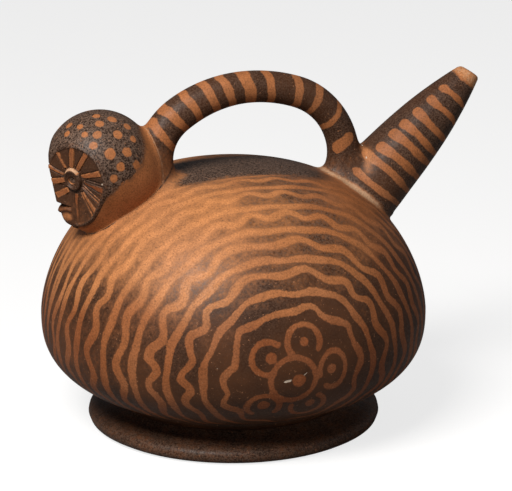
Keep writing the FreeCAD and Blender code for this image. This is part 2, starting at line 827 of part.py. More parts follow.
pieces = {
    "lower_bowl": bowl_shell("lower_bowl_turned", "bowl"),
    "upper_dome": cut("upper_dome", bowl_shell("crown_shell", "crown"), bore, air),
    "foot_ring": cut("foot_ring", foot_form(), chamber),
    "head_dome": cut("head_dome", head_mass, head_form("head_hollow", size("head_wall")), socket, chamber,
                     air, bill_over, bill_seat),
    "upper_beak": cut("upper_beak", bill_over, bill_front, bill_notch),
    "lower_beak": cut("lower_beak", bill_under, bill_front, bill_notch),
    "spout": cut("spout", spout_solid, bore, chamber),
}
pieces["foot_luting"] = cut("foot_luting", foot_coil(), chamber, pieces["foot_ring"])
for side in SIDES:
    pane = common("pane_" + side, socket, half_space(side))
    pieces["face_disc_" + side] = cut("face_disc_" + side, pane, disc_front, rays(side), eye_hole(side),
                                      bill_over, bill_seat, bill_notch)
    pieces["eye_ring_" + side] = eye_ring(side)
pieces["neck_luting"] = cut("neck_luting", neck_coil(), chamber, head_mass)
pieces["bridge"] = cut("bridge", bar, chamber, head_mass, spout_solid, pieces["neck_luting"])
head_collar = collar("head_collar", legs["head_leg"])
spout_collar = collar("spout_collar", legs["spout_leg"])
pieces["bridge_head_luting"] = cut("bridge_head_luting", head_collar, chamber, head_mass, bar,
                                   pieces["neck_luting"])
pieces["bridge_spout_luting"] = cut("bridge_spout_luting", spout_collar, chamber, spout_solid, bar)
pieces["spout_luting"] = cut("spout_luting", spout_coil(), chamber, spout_solid, bar,
                             pieces["bridge_spout_luting"])

for name, piece in pieces.items():
    piece.Label = name
doc.recompute()


def check_document():
    """Stop if anything in the document failed, or a piece has no sound solid."""
    for item in doc.Objects:
        if "Invalid" in item.State or "Error" in item.State:
            raise RuntimeError("%s: %s" % (item.Name, item.State))
    for name, piece in pieces.items():
        if piece.Shape.isNull() or not piece.Shape.isValid() or not piece.Shape.Solids:
            raise RuntimeError("%s has no valid solid" % name)


def write_pieces():
    os.makedirs("parts", exist_ok=True)
    for name, piece in pieces.items():
        piece.Shape.exportStep("parts/%s.step" % name)
        box = piece.Shape.BoundBox
        print("%-20s solids %d  volume %9.1f  x %6.1f..%6.1f  y %6.1f..%6.1f  z %6.1f..%6.1f" % (
            name, len(piece.Shape.Solids), piece.Shape.Volume, box.XMin, box.XMax, box.YMin, box.YMax,
            box.ZMin, box.ZMax))


check_document()
write_pieces()
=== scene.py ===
import json
import math

import bmesh
import bpy
import numpy as np
from mathutils import Matrix, Vector

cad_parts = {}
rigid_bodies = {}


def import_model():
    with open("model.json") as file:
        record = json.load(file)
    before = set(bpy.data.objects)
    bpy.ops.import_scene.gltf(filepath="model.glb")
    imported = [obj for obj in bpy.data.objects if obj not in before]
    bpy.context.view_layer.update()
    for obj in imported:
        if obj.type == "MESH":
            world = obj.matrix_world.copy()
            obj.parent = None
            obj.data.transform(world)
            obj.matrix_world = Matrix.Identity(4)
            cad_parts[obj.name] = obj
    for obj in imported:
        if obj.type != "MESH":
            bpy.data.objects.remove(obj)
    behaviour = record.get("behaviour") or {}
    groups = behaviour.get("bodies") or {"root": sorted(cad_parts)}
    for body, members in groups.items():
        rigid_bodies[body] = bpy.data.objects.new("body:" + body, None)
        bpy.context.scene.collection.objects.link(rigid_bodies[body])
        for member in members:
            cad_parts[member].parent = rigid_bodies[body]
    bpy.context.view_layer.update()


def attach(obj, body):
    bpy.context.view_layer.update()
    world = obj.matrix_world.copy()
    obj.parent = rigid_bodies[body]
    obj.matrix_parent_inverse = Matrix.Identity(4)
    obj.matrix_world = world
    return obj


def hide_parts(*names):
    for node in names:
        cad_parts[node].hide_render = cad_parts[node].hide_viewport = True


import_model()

# lengths are in millimetres of the bottle and turn to metres where a mesh is made; a gap is how far a point
# lies outside a shape or a painted mark, less than nothing within it
mm = 0.001
quarter = math.pi / 2
farOff = 50.0  # a gap that stands for no mark at all
plainDark = 6.0  # paint of dark slip with no stroke in it


def softTable(at, stops):
    places, values = np.array(stops, float).T
    at = np.clip(at, places[0], places[-1])
    index = np.clip(np.searchsorted(places, at, side="right") - 1, 0, len(places) - 2)
    span = places[index + 1] - places[index]
    share = (at - places[index]) / span
    slopes = np.gradient(values, places)
    first, second = slopes[index] * span, slopes[index + 1] * span
    rise = share * share * (3 - 2 * share)
    bend = (share ** 3 - 2 * share ** 2 + share) * first + (share ** 3 - share ** 2) * second
    return values[index] * (1 - rise) + values[index + 1] * rise + bend


def rampTo(value, low, high):
    share = np.clip((value - low) / (high - low), 0, 1)
    return share * share * (3 - 2 * share)


def softJoin(first, second, width):
    near = np.maximum(width - np.abs(first - second), 0.0) / width
    return np.minimum(first, second) - near * near * width / 4


def softCut(solid, cutter, width):
    return -softJoin(-solid, cutter, width)


def seenSide(p):
    # the far side of the bottle mirrors the seen one
    return np.column_stack((p[:, 0], -np.abs(p[:, 1]), p[:, 2]))


def lineAway(p, spots):
    away = np.full(len(p), farOff)
    for start, end in zip(spots, spots[1:]):
        run = end - start
        share = np.clip((p - start) @ run / (run @ run), 0, 1)
        away = np.minimum(away, np.linalg.norm(p - start - np.outer(share, run), axis=1))
    return away


bodyShape = {
    "radius": 82.5,
    "girth": 48.8,
    # each half: power across, power upwards and height
    "upper": (2.702, 1.663, 62.5),
    "lower": (2.214, 2.706, 40.9),
    "inset": 0.28,
    # unevenness of the hand-built wall
    "wobble": 0.22,
    "lobes": (0.5, 0.3),
    "dents": 0.25,
    "ridges": 0.2,
    "twist": 33,
    "dentRuns": (11, 13),
    "ridgeRuns": (9, 17),
    "shifts": (0.6, -1.1, 1.3, 0.4),
    "deepest": -20,
}


def unevenWall(p):
    shape = bodyShape
    x, y, z = p.T
    turn = np.arctan2(y, x)
    dentX, dentY = shape["dentRuns"]
    ridgeZ, ridgeX = shape["ridgeRuns"]
    lobe, slimLobe, inX, inY = shape["shifts"]
    lobes = (np.sin(2 * turn + lobe) * shape["lobes"][0]
             + np.sin(3 * turn + slimLobe + z / shape["twist"]) * shape["lobes"][1])
    dents = np.sin(x / dentX + inX) * np.sin(y / dentY + inY) * shape["dents"]
    return (lobes + dents + np.sin(z / ridgeZ + x / ridgeX) * shape["ridges"]) * shape["wobble"]


def potGap(p):
    shape = bodyShape
    across = np.hypot(p[:, 0], p[:, 1]) / shape["radius"]
    height = p[:, 2] - shape["girth"]
    radial, upward, span = [np.where(height >= 0, *pair) for pair in zip(shape["upper"], shape["lower"])]
    lift = np.abs(height) / span
    value = across ** radial + lift ** upward - 1
    slopeOut = radial / shape["radius"] * across ** (radial - 1)
    slope = np.hypot(slopeOut, upward / span * lift ** (upward - 1))
    return np.maximum(value / np.maximum(slope, 0.01), shape["deepest"]) + unevenWall(p) + shape["inset"]


def potProfile(count):
    corners = []
    for angle in np.linspace(-quarter, quarter, count):
        radial, upward, span = bodyShape["upper" if angle >= 0 else "lower"]
        r = bodyShape["radius"] * max(math.cos(angle), 0) ** (2 / radial)
        z = bodyShape["girth"] + math.copysign(span * abs(math.sin(angle)) ** (2 / upward), angle)
        corners.append((r, z))
    return corners


headShape = {
    "skull": (-58.3, 0.0, 117.0),
    "skullRadius": 22.3,
    "jowl": (-64.45, 0.0, 107.5),
    "jowlRadius": 17.0,
    "neckLow": (-53.0, 0.0, 97.0),
    "neckLowRadius": 13.0,
    "neckHigh": (-50.0, 0.0, 110.0),
    "neckHighRadius": 16.0,
    # the two slanting faces meet in a ridge
    "ridge": (-80.0, 0.0, 116.0),
    "sweep": 38.0,
    "lean": 11.0,
    "seat": -0.6,
}


def roundCone(p, start, end, startRadius, endRadius):
    start, run = np.array(start), np.array(end) - np.array(start)
    length = run @ run
    taper = startRadius - endRadius
    wall = length - taper * taper
    away = p - start
    along = away @ run
    past = along - length
    across = ((away * length - np.outer(along, run)) ** 2).sum(1)
    atStart = np.sqrt(across + along * along * length) / length - startRadius
    atEnd = np.sqrt(across + past * past * length) / length - endRadius
    side = (np.sqrt(across * wall / length) + along * taper) / length - startRadius
    edge = np.sign(taper) * taper * taper * across
    pastEnd = np.sign(past) * wall * past * past * length > edge
    beforeStart = np.sign(along) * wall * along * along * length < edge
    return np.where(pastEnd, atEnd, np.where(beforeStart, atStart, side))


def taperGap(p, start, end):
    shape = headShape
    return roundCone(p, shape[start], shape[end], shape[start + "Radius"], shape[end + "Radius"])


def headGap(p):
    return taperGap(p, "skull", "jowl")


def neckGap(p):
    return taperGap(p, "neckLow", "neckHigh")


def birdGap(p):
    return softJoin(headGap(p), neckGap(p), blends["neck"])


def faceAxes(side):
    sweep, lean = math.radians(headShape["sweep"]) * side, math.radians(headShape["lean"])
    turned = Matrix.Rotation(sweep, 3, "Z")
    leant = Matrix.Rotation(-lean, 3, "Y")
    back, away, upward = np.array(leant @ turned).T
    return -back, -side * away, upward


def faceGap(p, side):
    return (p - np.array(headShape["ridge"])) @ faceAxes(side)[0]


bridgeShape = {
    "headLegX": -35.2,
    "headLegZ": 114.27,
    "headLegArc": 25.0,
    "headSideArc": 55.0,
    "headTurn": 35.0,
    "crown": (7.0, 144.7),
    "spoutSideArc": 65.5,
    "spoutTurn": 19.5,
    "spoutLegArc": 32.3,
    "spoutLegX": 50.38,
    "spoutLegZ": 110.5,
    "footZ": 92.0,
    "sunk": 4.0,
    "stride": 2.0,
    # distance along the bar from the head's leg, and the bar's radius there
    "girths": ((0, 11.0), (14, 9.3), (24, 8.1), (36, 7.3), (48, 7.15), (80, 6.5), (102, 6.4),
               (125, 6.35), (142, 7.0), (151, 8.2), (160, 10.0)),
}


def bridgeArcs():
    shape = bridgeShape
    headTurn, spoutTurn = math.radians(shape["headTurn"]), math.radians(shape["spoutTurn"])
    crownX, crownZ = shape["crown"]
    headLeg, headSide = shape["headLegArc"], shape["headSideArc"]
    spoutSide, spoutLeg = shape["spoutSideArc"], shape["spoutLegArc"]
    # middle, radius, first and last turn of each
    return ((shape["headLegX"] + headLeg, shape["headLegZ"], headLeg, math.pi, quarter + headTurn),
            (crownX, crownZ - headSide, headSide, quarter + headTurn, quarter),
            (crownX, crownZ - spoutSide, spoutSide, quarter, quarter - spoutTurn),
            (shape["spoutLegX"] - spoutLeg, shape["spoutLegZ"], spoutLeg, quarter - spoutTurn, 0.0))


def bridgePlace(p):
    shape = bridgeShape
    x, z = p[:, 0], p[:, 2]
    low = shape["footZ"]
    onLeg = np.clip(z, low, shape["headLegZ"])
    runs = [(np.hypot(x - shape["headLegX"], z - onLeg), onLeg - low)]
    travelled = shape["headLegZ"] - low
    for middleX, middleZ, radius, first, last in bridgeArcs():
        turn = np.arctan2(z - middleZ, x - middleX)
        turn = np.clip(np.where(turn < -quarter, turn + 2 * math.pi, turn), last, first)
        away = np.hypot(x - middleX - radius * np.cos(turn), z - middleZ - radius * np.sin(turn))
        runs.append((away, travelled + radius * (first - turn)))
        travelled += radius * (first - last)
    onLeg = np.clip(z, low, shape["spoutLegZ"])
    runs.append((np.hypot(x - shape["spoutLegX"], z - onLeg), travelled + shape["spoutLegZ"] - onLeg))
    aways, travels = np.array(runs).transpose(1, 0, 2)
    nearest, pick = aways.argmin(0), np.arange(len(x))
    return aways[nearest, pick], travels[nearest, pick]


def bridgeWalk():
    shape = bridgeShape
    low, step = shape["footZ"] + shape["sunk"], shape["stride"]
    spots = [(shape["headLegX"], 0, z) for z in np.arange(low, shape["headLegZ"], step)]
    for middleX, middleZ, radius, first, last in bridgeArcs():
        for turn in np.arange(first, last, -step / radius):
            spots.append((middleX + radius * math.cos(turn), 0, middleZ + radius * math.sin(turn)))
    spots += [(shape["spoutLegX"], 0, z) for z in np.arange(shape["spoutLegZ"], low, -step)]
    places = np.array(spots)
    return places, bridgePlace(places)[1]


def bridgeGap(p):
    away, travel = bridgePlace(p)
    return np.hypot(away, p[:, 1]) - softTable(travel, bridgeShape["girths"])


spoutShape = {
    "root": (60.5, 95.0),
    "slant": math.sqrt(0.5),
    "rootDepth": 14.0,
    # distance along the spout from its root, and its radius there
    "girths": ((-14, 15.6), (0, 15.5), (15, 14.3), (27, 13.2), (45, 10.6), (62, 6.6), (69.5, 4.35)),
    "taperShare": 0.97,
    "tip": 68.8,
    "tipTilt": 10.0,
    "tipRound": 1.6,
    "boreRadius": 3.0,
    "boreDepth": 14.0,
    "mouthRound": 0.7,
    # the coil of clay round the root lies where x and z add up to this
    "coil": 155.5,
    "coilBreadth": 1.5,
    "coilProud": 0.4,
    "coilLumps": 0.3,
    "lumpRuns": (0.8, 1.9),
}


def spoutPlace(p):
    rootX, rootZ = spoutShape["root"]
    across, upward = (p[:, 0] - rootX) * spoutShape["slant"], (p[:, 2] - rootZ) * spoutShape["slant"]
    return across + upward, across - upward, p[:, 1]


def spoutGap(p):
    shape = spoutShape
    along, level, across = spoutPlace(p)
    away = np.hypot(level, across)
    gap = (away - softTable(along, shape["girths"])) * shape["taperShare"]
    coil = (p[:, 0] + p[:, 2] - shape["coil"]) / shape["coilBreadth"]
    lumpX, lumpY = shape["lumpRuns"]
    lumps = 1 + shape["coilLumps"] * (np.sin(p[:, 1] * lumpY + p[:, 0] * lumpX) - 1)
    gap = gap - shape["coilProud"] * np.exp(-coil * coil) * lumps
    tilt = math.radians(shape["tipTilt"])
    end = (along - shape["tip"]) * math.cos(tilt) - level * math.sin(tilt)
    gap = softCut(gap, -end, shape["tipRound"])
    gap = np.maximum(gap, -shape["rootDepth"] - along)
    bore = np.maximum(away - shape["boreRadius"], shape["tip"] - shape["boreDepth"] - along)
    return softCut(gap, bore, shape["mouthRound"])


# how widely the smoothed clay fills each corner between two pieces
blends = {
    "neck": 7.0,
    "headPot": 1.2,
    "legPot": 7.0,
    "spoutPot": 3.0,
    "headBridge": 6.0,
    "spoutBridge": 7.0,
    "whole": 1.0,
    "middleX": 5,
}


def halfGap(end, bridge, pot, endPot, endBridge):
    whole = blends["whole"]
    gap = softJoin(softJoin(end, pot, blends[endPot]), softJoin(bridge, pot, blends["legPot"]), whole)
    return softJoin(gap, softJoin(end, bridge, blends[endBridge]), whole)


def skinGap(p):
    bridge, pot = bridgeGap(p), potGap(p)
    headHalf = halfGap(birdGap(p), bridge, pot, "headPot", "headBridge")
    spoutHalf = halfGap(spoutGap(p), bridge, pot, "spoutPot", "spoutBridge")
    return np.where(p[:, 0] < blends["middleX"], headHalf, spoutHalf)


def slopeOf(gap, p, step=0.05):
    corners = np.array(((1, -1, -1), (-1, -1, 1), (-1, 1, -1), (1, 1, 1)), float)
    total = np.zeros_like(p)
    for corner in corners:
        total += corner * gap(p + corner * step)[:, None]
    return total / (4 * step)


def settle(p, gap, rounds, stride=2, flattest=0.05):
    for _ in range(rounds):
        slope = slopeOf(gap, p)
        size = np.maximum((slope * slope).sum(1), flattest)
        p = p - slope * np.clip(gap(p) / size, -stride, stride)[:, None]
    return p


skinGrain = {
    "voxel": 0.75,
    "settles": 3,
    "profile": 60,
    "turns": 96,
    "headBalls": 15,
    "spoutStep": 1.5,
    "spoutEnds": (-12, -3),
    "weld": 0.001,
    "cutWeld": 0.0005,
    "flatWeld": 0.01,
}


def readPoints(mesh):
    flat = np.empty(len(mesh.vertices) * 3, np.float64)
    mesh.vertices.foreach_get("co", flat)
    return flat.reshape(-1, 3) / mm


def writePoints(mesh, p):
    mesh.vertices.foreach_set("co", (p * mm).ravel())
    mesh.update()


def putInScene(name, mesh):
    piece = bpy.data.objects.new(name, mesh)
    bpy.context.scene.collection.objects.link(piece)
    return piece


def newPiece(name, bm):
    mesh = bpy.data.meshes.new(name)
    bm.to_mesh(mesh)
    bm.free()
    return putInScene(name, mesh)


def voxelMesh(rough, voxel):
    remesh = rough.modifiers.new("grain", "REMESH")
    remesh.mode = "VOXEL"
    remesh.voxel_size = voxel * mm
    view = bpy.context.evaluated_depsgraph_get()
    mesh = bpy.data.meshes.new_from_object(rough.evaluated_get(view))
    bpy.data.objects.remove(rough)
    return mesh


def smoothFaces(bm):
    bmesh.ops.recalc_face_normals(bm, faces=bm.faces[:])
    for face in bm.faces:
        face.smooth = True


def spinRound(bm, line, steps, weld):
    edges = [bm.edges.new(pair) for pair in zip(line, line[1:])]
    bmesh.ops.spin(bm, geom=line + edges, cent=(0, 0, 0), axis=(0, 0, 1), angle=2 * math.pi, steps=steps,
                   use_merge=True)
    bmesh.ops.remove_doubles(bm, verts=bm.verts[:], dist=weld)


def spinProfile(bm, corners, steps):
    spinRound(bm, [bm.verts.new((r * mm, 0, z * mm)) for r, z in corners], steps, skinGrain["weld"] * mm)


def turnedPiece(name, corners, steps):
    bm = bmesh.new()
    spinProfile(bm, corners, steps)
    smoothFaces(bm)
    return newPiece(name, bm)


def addBall(bm, middle, radius):
    place = Matrix.Translation(Vector(middle) * mm)
    bmesh.ops.create_icosphere(bm, subdivisions=3, radius=radius * mm, matrix=place)


def roughSkin():
    bm = bmesh.new()
    spinProfile(bm, potProfile(skinGrain["profile"]), skinGrain["turns"])
    for share in np.linspace(0, 1, skinGrain["headBalls"]):
        for start, end in (("skull", "jowl"), ("neckLow", "neckHigh")):
            middle = np.array(headShape[start]) * (1 - share) + np.array(headShape[end]) * share
            radius = headShape[start + "Radius"] * (1 - share) + headShape[end + "Radius"] * share
            addBall(bm, middle, radius)
    places, travels = bridgeWalk()
    for place, girth in zip(places, softTable(travels, bridgeShape["girths"])):
        addBall(bm, place, girth)
    (x, z), slant = spoutShape["root"], spoutShape["slant"]
    first, last = skinGrain["spoutEnds"]
    spots = np.arange(first, spoutShape["tip"] + last, skinGrain["spoutStep"])
    for along, girth in zip(spots, softTable(spots, spoutShape["girths"])):
        addBall(bm, (x + along * slant, 0, z + along * slant), girth)
    bmesh.ops.recalc_face_normals(bm, faces=bm.faces[:])
    return newPiece("roughSkin", bm)


def grownSkin():
    mesh = voxelMesh(roughSkin(), skinGrain["voxel"])
    writePoints(mesh, settle(readPoints(mesh), skinGap, skinGrain["settles"]))
    return putInScene("skin", mesh)


# cuts between the pieces: a point on the plane, its normal, and how far the cut reaches in x and z
cuts = {
    "girth": ((0, 0, bodyShape["girth"]), (0, 0, 1), ((-90, 90), (40, 58))),
    "neckLow": ((0, 0, 122.9), (-0.49, 0, 1), ((-90, 0), (60, 130))),
    "neckHigh": ((0, 0, 125.9), (-0.49, 0, 1), ((-90, 0), (60, 135))),
    "headBridge": ((-42.2, 0, 131), (24, 0, 6.2), ((-60, -25), (95, 150))),
    "legLow": ((0, 0, 130.1), (0.52, 0, 1), ((30, 54), (90, 125))),
    "legHigh": ((0, 0, 133.1), (0.52, 0, 1), ((30, 54), (90, 125))),
    "spoutLow": ((154.1, 0, 0), (1, 0, 1), ((47, 90), (60, 125))),
    "spoutHigh": ((156.9, 0, 0), (1, 0, 1), ((47, 90), (60, 125))),
    "bridgeSpout": ((0, 0, 54.2), (-1, 0, 1), ((40, 90), (95, 150))),
}
overPot = 120  # what stands higher than this right of the head is the bridge

# the pieces grown in one skin and the cuts that bound each
pieceCuts = {
    "lower_bowl": ("girth",),
    "upper_dome": ("girth", "neckLow", "legLow", "spoutLow"),
    "head_dome": ("neckHigh", "headBridge"),
    "neck_luting": ("neckLow", "neckHigh", "headBridge"),
    "bridge_head_luting": ("neckLow", "neckHigh", "headBridge"),
    "bridge": ("neckHigh", "headBridge", "legHigh", "bridgeSpout"),
    "bridge_spout_luting": ("legLow", "legHigh", "bridgeSpout"),
    "spout": ("spoutHigh", "bridgeSpout"),
    "spout_luting": ("spoutLow", "spoutHigh", "bridgeSpout"),
}


def cutSide(p, name):
    point, normal, _ = cuts[name]
    return (p - np.array(point)) @ np.array(normal, float) / np.linalg.norm(normal)


def beyond(p, name):
    return cutSide(p, name) > 0


def ownerOf(p):
    names = list(pieceCuts)
    owner = np.full(len(p), names.index("upper_dome"))

    def give(name, where):
        owner[where] = names.index(name)

    left, right = p[:, 0] < 0, p[:, 0] > 0
    onHead, onBar = ~beyond(p, "headBridge"), beyond(p, "bridgeSpout")
    give("lower_bowl", ~beyond(p, "girth"))
    give("neck_luting", left & beyond(p, "neckLow") & onHead)
    give("bridge_head_luting", left & beyond(p, "neckLow") & ~onHead)
    give("head_dome", left & beyond(p, "neckHigh") & onHead)
    give("bridge", left & beyond(p, "neckHigh") & ~onHead)
    give("bridge", ~left & (p[:, 2] > overPot) & onBar)
    give("bridge_spout_luting", right & beyond(p, "legLow") & onBar)
    give("bridge", right & beyond(p, "legHigh") & onBar)
    give("spout_luting", right & beyond(p, "spoutLow") & ~onBar)
    give("spout", right & beyond(p, "spoutHigh") & ~onBar)
    return owner


def within(face, reach):
    middle = face.calc_center_median() / mm
    (lowX, highX), (lowZ, highZ) = reach
    return lowX <= middle.x <= highX and lowZ <= middle.z <= highZ


def vertsOf(items):
    return list(dict.fromkeys(vert for item in items for vert in item.verts))


def cutToPieces(skin):
    bm = bmesh.new()
    bm.from_mesh(skin.data)
    for point, normal, reach in cuts.values():
        near = [face for face in bm.faces if within(face, reach)]
        edges = list(dict.fromkeys(edge for face in near for edge in face.edges))
        bmesh.ops.bisect_plane(bm, geom=vertsOf(near) + edges + near, plane_co=Vector(point) * mm,
                               plane_no=normal, dist=skinGrain["cutWeld"] * mm)
    middles = np.array([face.calc_center_median() for face in bm.faces]) / mm
    for face, owner in zip(bm.faces, ownerOf(middles)):
        face.material_index = int(owner)
    bm.to_mesh(skin.data)
    bm.free()
    for name in pieceCuts:
        skin.data.materials.append(bpy.data.materials.new(name))
    bpy.ops.object.select_all(action="DESELECT")
    skin.select_set(True)
    bpy.context.view_layer.objects.active = skin
    before = set(bpy.data.objects)
    bpy.ops.mesh.separate(type="MATERIAL")
    parts = {}
    for part in [skin] + [item for item in bpy.data.objects if item not in before]:
        name = part.data.materials[part.data.polygons[0].material_index].name
        parts[name] = part
        part.name = name + "_skin"
    for part in parts.values():
        part.data.materials.clear()
    return parts


rimVotes = {"rounds": 3, "neighbours": 3, "longRim": 20}


def openRims(bm):
    seen, rims = set(), []
    for start in [edge for edge in bm.edges if edge.is_boundary]:
        if start in seen:
            continue
        rim, vert = [start], start.verts[1]
        seen.add(start)
        while ahead := [edge for edge in vert.link_edges if edge.is_boundary and edge not in seen]:
            rim.append(ahead[0])
            seen.add(ahead[0])
            vert = ahead[0].other_vert(vert)
        rims.append(rim)
    return rims


def cutRim(bm, names):
    rims = {name: [] for name in names}
    reach = rimVotes["neighbours"]
    for rim in openRims(bm):
        middles = np.array([(edge.verts[0].co + edge.verts[1].co) / 2 for edge in rim]) / mm
        votes = np.eye(len(names))[np.argmin([np.abs(cutSide(middles, name)) for name in names], 0)]
        # a short run that seems to lie in another cut joins its neighbours
        for _ in range(rimVotes["rounds"] if len(rim) > rimVotes["longRim"] else 0):
            votes = sum(np.roll(votes, shift, 0) for shift in range(-reach, reach + 1))
            votes = np.eye(len(names))[np.argmax(votes, 1)]
        for edge, vote in zip(rim, np.argmax(votes, 1)):
            rims[names[vote]].append(edge)
    return rims


def fanOver(bm, rim):
    grown = bmesh.ops.extrude_edge_only(bm, edges=rim)["geom"]
    verts = [item for item in grown if isinstance(item, bmesh.types.BMVert)]
    middle = sum((vert.co for vert in verts), Vector()) / len(verts)
    bmesh.ops.pointmerge(bm, verts=verts, merge_co=middle)


def closeAlongCuts(bm, names):
    rims = cutRim(bm, names)
    for index, first in enumerate(names):
        for second in names[index + 1:]:
            others = set(vertsOf(rims[second]))
            corners = [vert for vert in vertsOf(rims[first]) if vert in others]
            if len(corners) == 2:
                chord = bm.edges.get(corners) or bm.edges.new(corners)
                rims[first].append(chord)
                rims[second].append(chord)
    for name in names:
        if rims[name]:
            fanOver(bm, list(dict.fromkeys(rims[name])))
    for rim in openRims(bm):
        fanOver(bm, rim)


def cutFlat(bm, point, normal):
    everything = bm.verts[:] + bm.edges[:] + bm.faces[:]
    bmesh.ops.bisect_plane(bm, geom=everything, plane_co=Vector(point) * mm, plane_no=Vector(normal),
                           dist=skinGrain["flatWeld"] * mm, clear_outer=True)
    bmesh.ops.holes_fill(bm, edges=[edge for edge in bm.edges if edge.is_boundary], sides=0)
    bmesh.ops.triangulate(bm, faces=[face for face in bm.faces if len(face.verts) > 4])


def closeAndSmooth(part, name):
    bm = bmesh.new()
    bm.from_mesh(part.data)
    closeAlongCuts(bm, pieceCuts[name])
    if name == "head_dome":
        for side in (1, -1):
            normal = faceAxes(side)[0]
            cutFlat(bm, np.array(headShape["ridge"]) + normal * headShape["seat"], normal)
        cornerX, cornerZ = billShape["corner"]
        cutFlat(bm, (cornerX, 0, cornerZ), billShape["behind"])
    smoothFaces(bm)
    for face in bm.faces:
        face.material_index = 0
    bm.to_mesh(part.data)
    bm.free()
    slope = slopeOf(skinGap, readPoints(part.data))
    slope /= np.linalg.norm(slope, axis=1)[:, None]
    part.data.normals_split_custom_set_from_vertices(slope.tolist())


# marks on the flank: reach is the distance from the flower's middle over the flank, turn goes round it
# from the spout's side over the top, and a place on the flower is (towards the spout, up)
flankShape = {
    "middle": (-0.0304, -0.9973, -0.0671),
    "east": (0.9995, -0.0305, 0.0),
    "north": (-0.0020, -0.0671, 0.9977),
    "roundness": 80.0,
}


def wrapTurn(turn):
    return (turn + 180) % 360 - 180


def onFlank(p):
    shape = flankShape
    way = seenSide(p) - np.array((0, 0, bodyShape["girth"]))
    way = way / np.maximum(np.linalg.norm(way, axis=1), 0.001)[:, None]
    reach = shape["roundness"] * np.arccos(np.clip(way @ np.array(shape["middle"]), -1, 1))
    turn = np.arctan2(way @ np.array(shape["north"]), way @ np.array(shape["east"]))
    return reach, np.degrees(turn), reach * np.cos(turn), reach * np.sin(turn)


# lines of the flank: places of the innermost by turn and reach
innerWave = ((-160, 28.0), (-145, 26.5), (-130, 29.0), (-112, 26.5), (-95, 29.0), (-78, 27.0), (-60, 29.0),
             (-42, 27.0), (-19, 28.9), (-11, 26.9), (-3, 27.6), (6, 29.6), (12, 29.4), (21, 28.2),
             (29, 28.5), (37, 30.0), (44, 28.9), (56, 26.8), (64, 27.4), (69, 28.9), (76, 29.0), (85, 27.2),
             (95, 26.6), (105, 27.0), (116, 27.3), (124, 27.4), (131, 28.5), (138, 29.7), (145, 28.3),
             (157, 25.8), (166, 25.3), (173, 27.4), (179, 28.6), (186, 28.0), (191, 27.3), (200, 30.0))
# zigzag lines by their place from the flower: low and high reach, whether the first turn is high, turns
zigzags = {
    2: (41.8, 44.9, True, (34, 44, 51, 64, 79, 89, 116, 129, 141, 149, 157, 170, 180, 187, 194)),
    4: (55.6, 58.8, True, (36, 46, 57, 69, 79, 90, 120, 127, 136, 146, 153, 163, 173, 178, 185)),
    6: (70.6, 73.7, False, (75, 81, 91, 98, 104, 113, 123, 131, 140, 146, 153, 161, 170, 180)),
    8: (86.4, 89.4, False, (73, 80, 87, 94, 103, 109, 114, 120, 127, 136, 147, 153, 159, 164, 170, 179)),
    10: (101.7, 104.4, False, (73, 80, 86, 94, 101, 110, 118, 127, 135, 143, 152, 161, 169, 174, 181)),
    12: (115.0, 117.4, False, (60, 68, 76, 84, 92, 101, 110, 120, 129, 138, 147, 157, 167, 177)),
}
# easy lines between them, with one swing for all
easyWaves = {1: 35.7, 3: 50.3, 5: 65.0, 7: 79.4, 9: 95.5, 11: 110.3, 13: 122.6}
easySwing = ((-180, 0.9), (-130, -0.4), (-90, 0.5), (-45, -0.5), (0, 0.2), (30, -0.2), (55, 1.2),
             (88, -1.9), (112, 0.2), (140, -0.3), (160, 0.2), (180, 0.9))
# widths of all the lines from the flower outwards
strokeWidths = (2.7, 2.9, 3.1, 3.2, 3.5, 3.4, 3.6, 3.4, 3.5, 3.3, 3.3, 3.1, 3.0, 2.8)
waveShape = {
    "stride": 8.6,  # length of a turn of a zigzag where the photo shows none
    "uneven": 0.3,
    "unevenRuns": 2.7,
    "ripple": 0.3,
    "rippleRuns": 14,
    "swell": 0.25,
    "swellRuns": 9,
    "swellShift": 1.7,
}


def zigzagStops(low, high, startsHigh, turns):
    turns = list(turns)
    ups = [startsHigh ^ (index % 2 == 1) for index in range(len(turns))]
    ring = flankShape["roundness"] * math.sin((low + high) / 2 / flankShape["roundness"])
    last = turns[-1]
    room = turns[0] + 360 - last
    count = max(int(room / math.degrees(waveShape["stride"] / ring)) // 2 * 2, 2) + (ups[0] != ups[-1])
    for index in range(1, count):
        turns.append(last + index * room / count)
        ups.append(not ups[-1])
    return [(turn, (low, high)[up] + waveShape["uneven"] * math.sin(waveShape["unevenRuns"] * index))
            for index, (turn, up) in enumerate(zip(turns, ups))]


def ringTable(turn, stops):
    stops = sorted({round(wrapTurn(place), 3): value for place, value in stops}.items())
    before = [(place - 360, value) for place, value in stops[-3:]]
    after = [(place + 360, value) for place, value in stops[:3]]
    return softTable(turn, before + stops + after)


def waveGap(reach, turn):
    shape = waveShape
    gap = np.full(len(reach), farOff)
    ring = flankShape["roundness"] * np.sin(np.clip(reach / flankShape["roundness"], 0.05, 3.0))
    for index, width in enumerate(strokeWidths):
        if index in zigzags:
            stops = zigzagStops(*zigzags[index])
        elif index in easyWaves:
            stops = [(place, easyWaves[index] + swing) for place, swing in easySwing]
        else:
            stops = innerWave
        here, ahead = ringTable(turn, stops), ringTable(wrapTurn(turn + 1), stops)
        if index in easyWaves:
            ripple = shape["ripple"] * np.sin(np.radians(turn) * (shape["rippleRuns"] + index) + index)
            here, ahead = here + ripple, ahead + ripple
        slope = (ahead - here) / (np.radians(1) * ring)
        swell = np.sin(np.radians(turn) * (shape["swellRuns"] + index) + index * shape["swellShift"])
        breadth = width / 2 + shape["swell"] * swell
        gap = np.minimum(gap, np.abs(reach - here) / np.sqrt(1 + slope * slope) - breadth)
    return gap


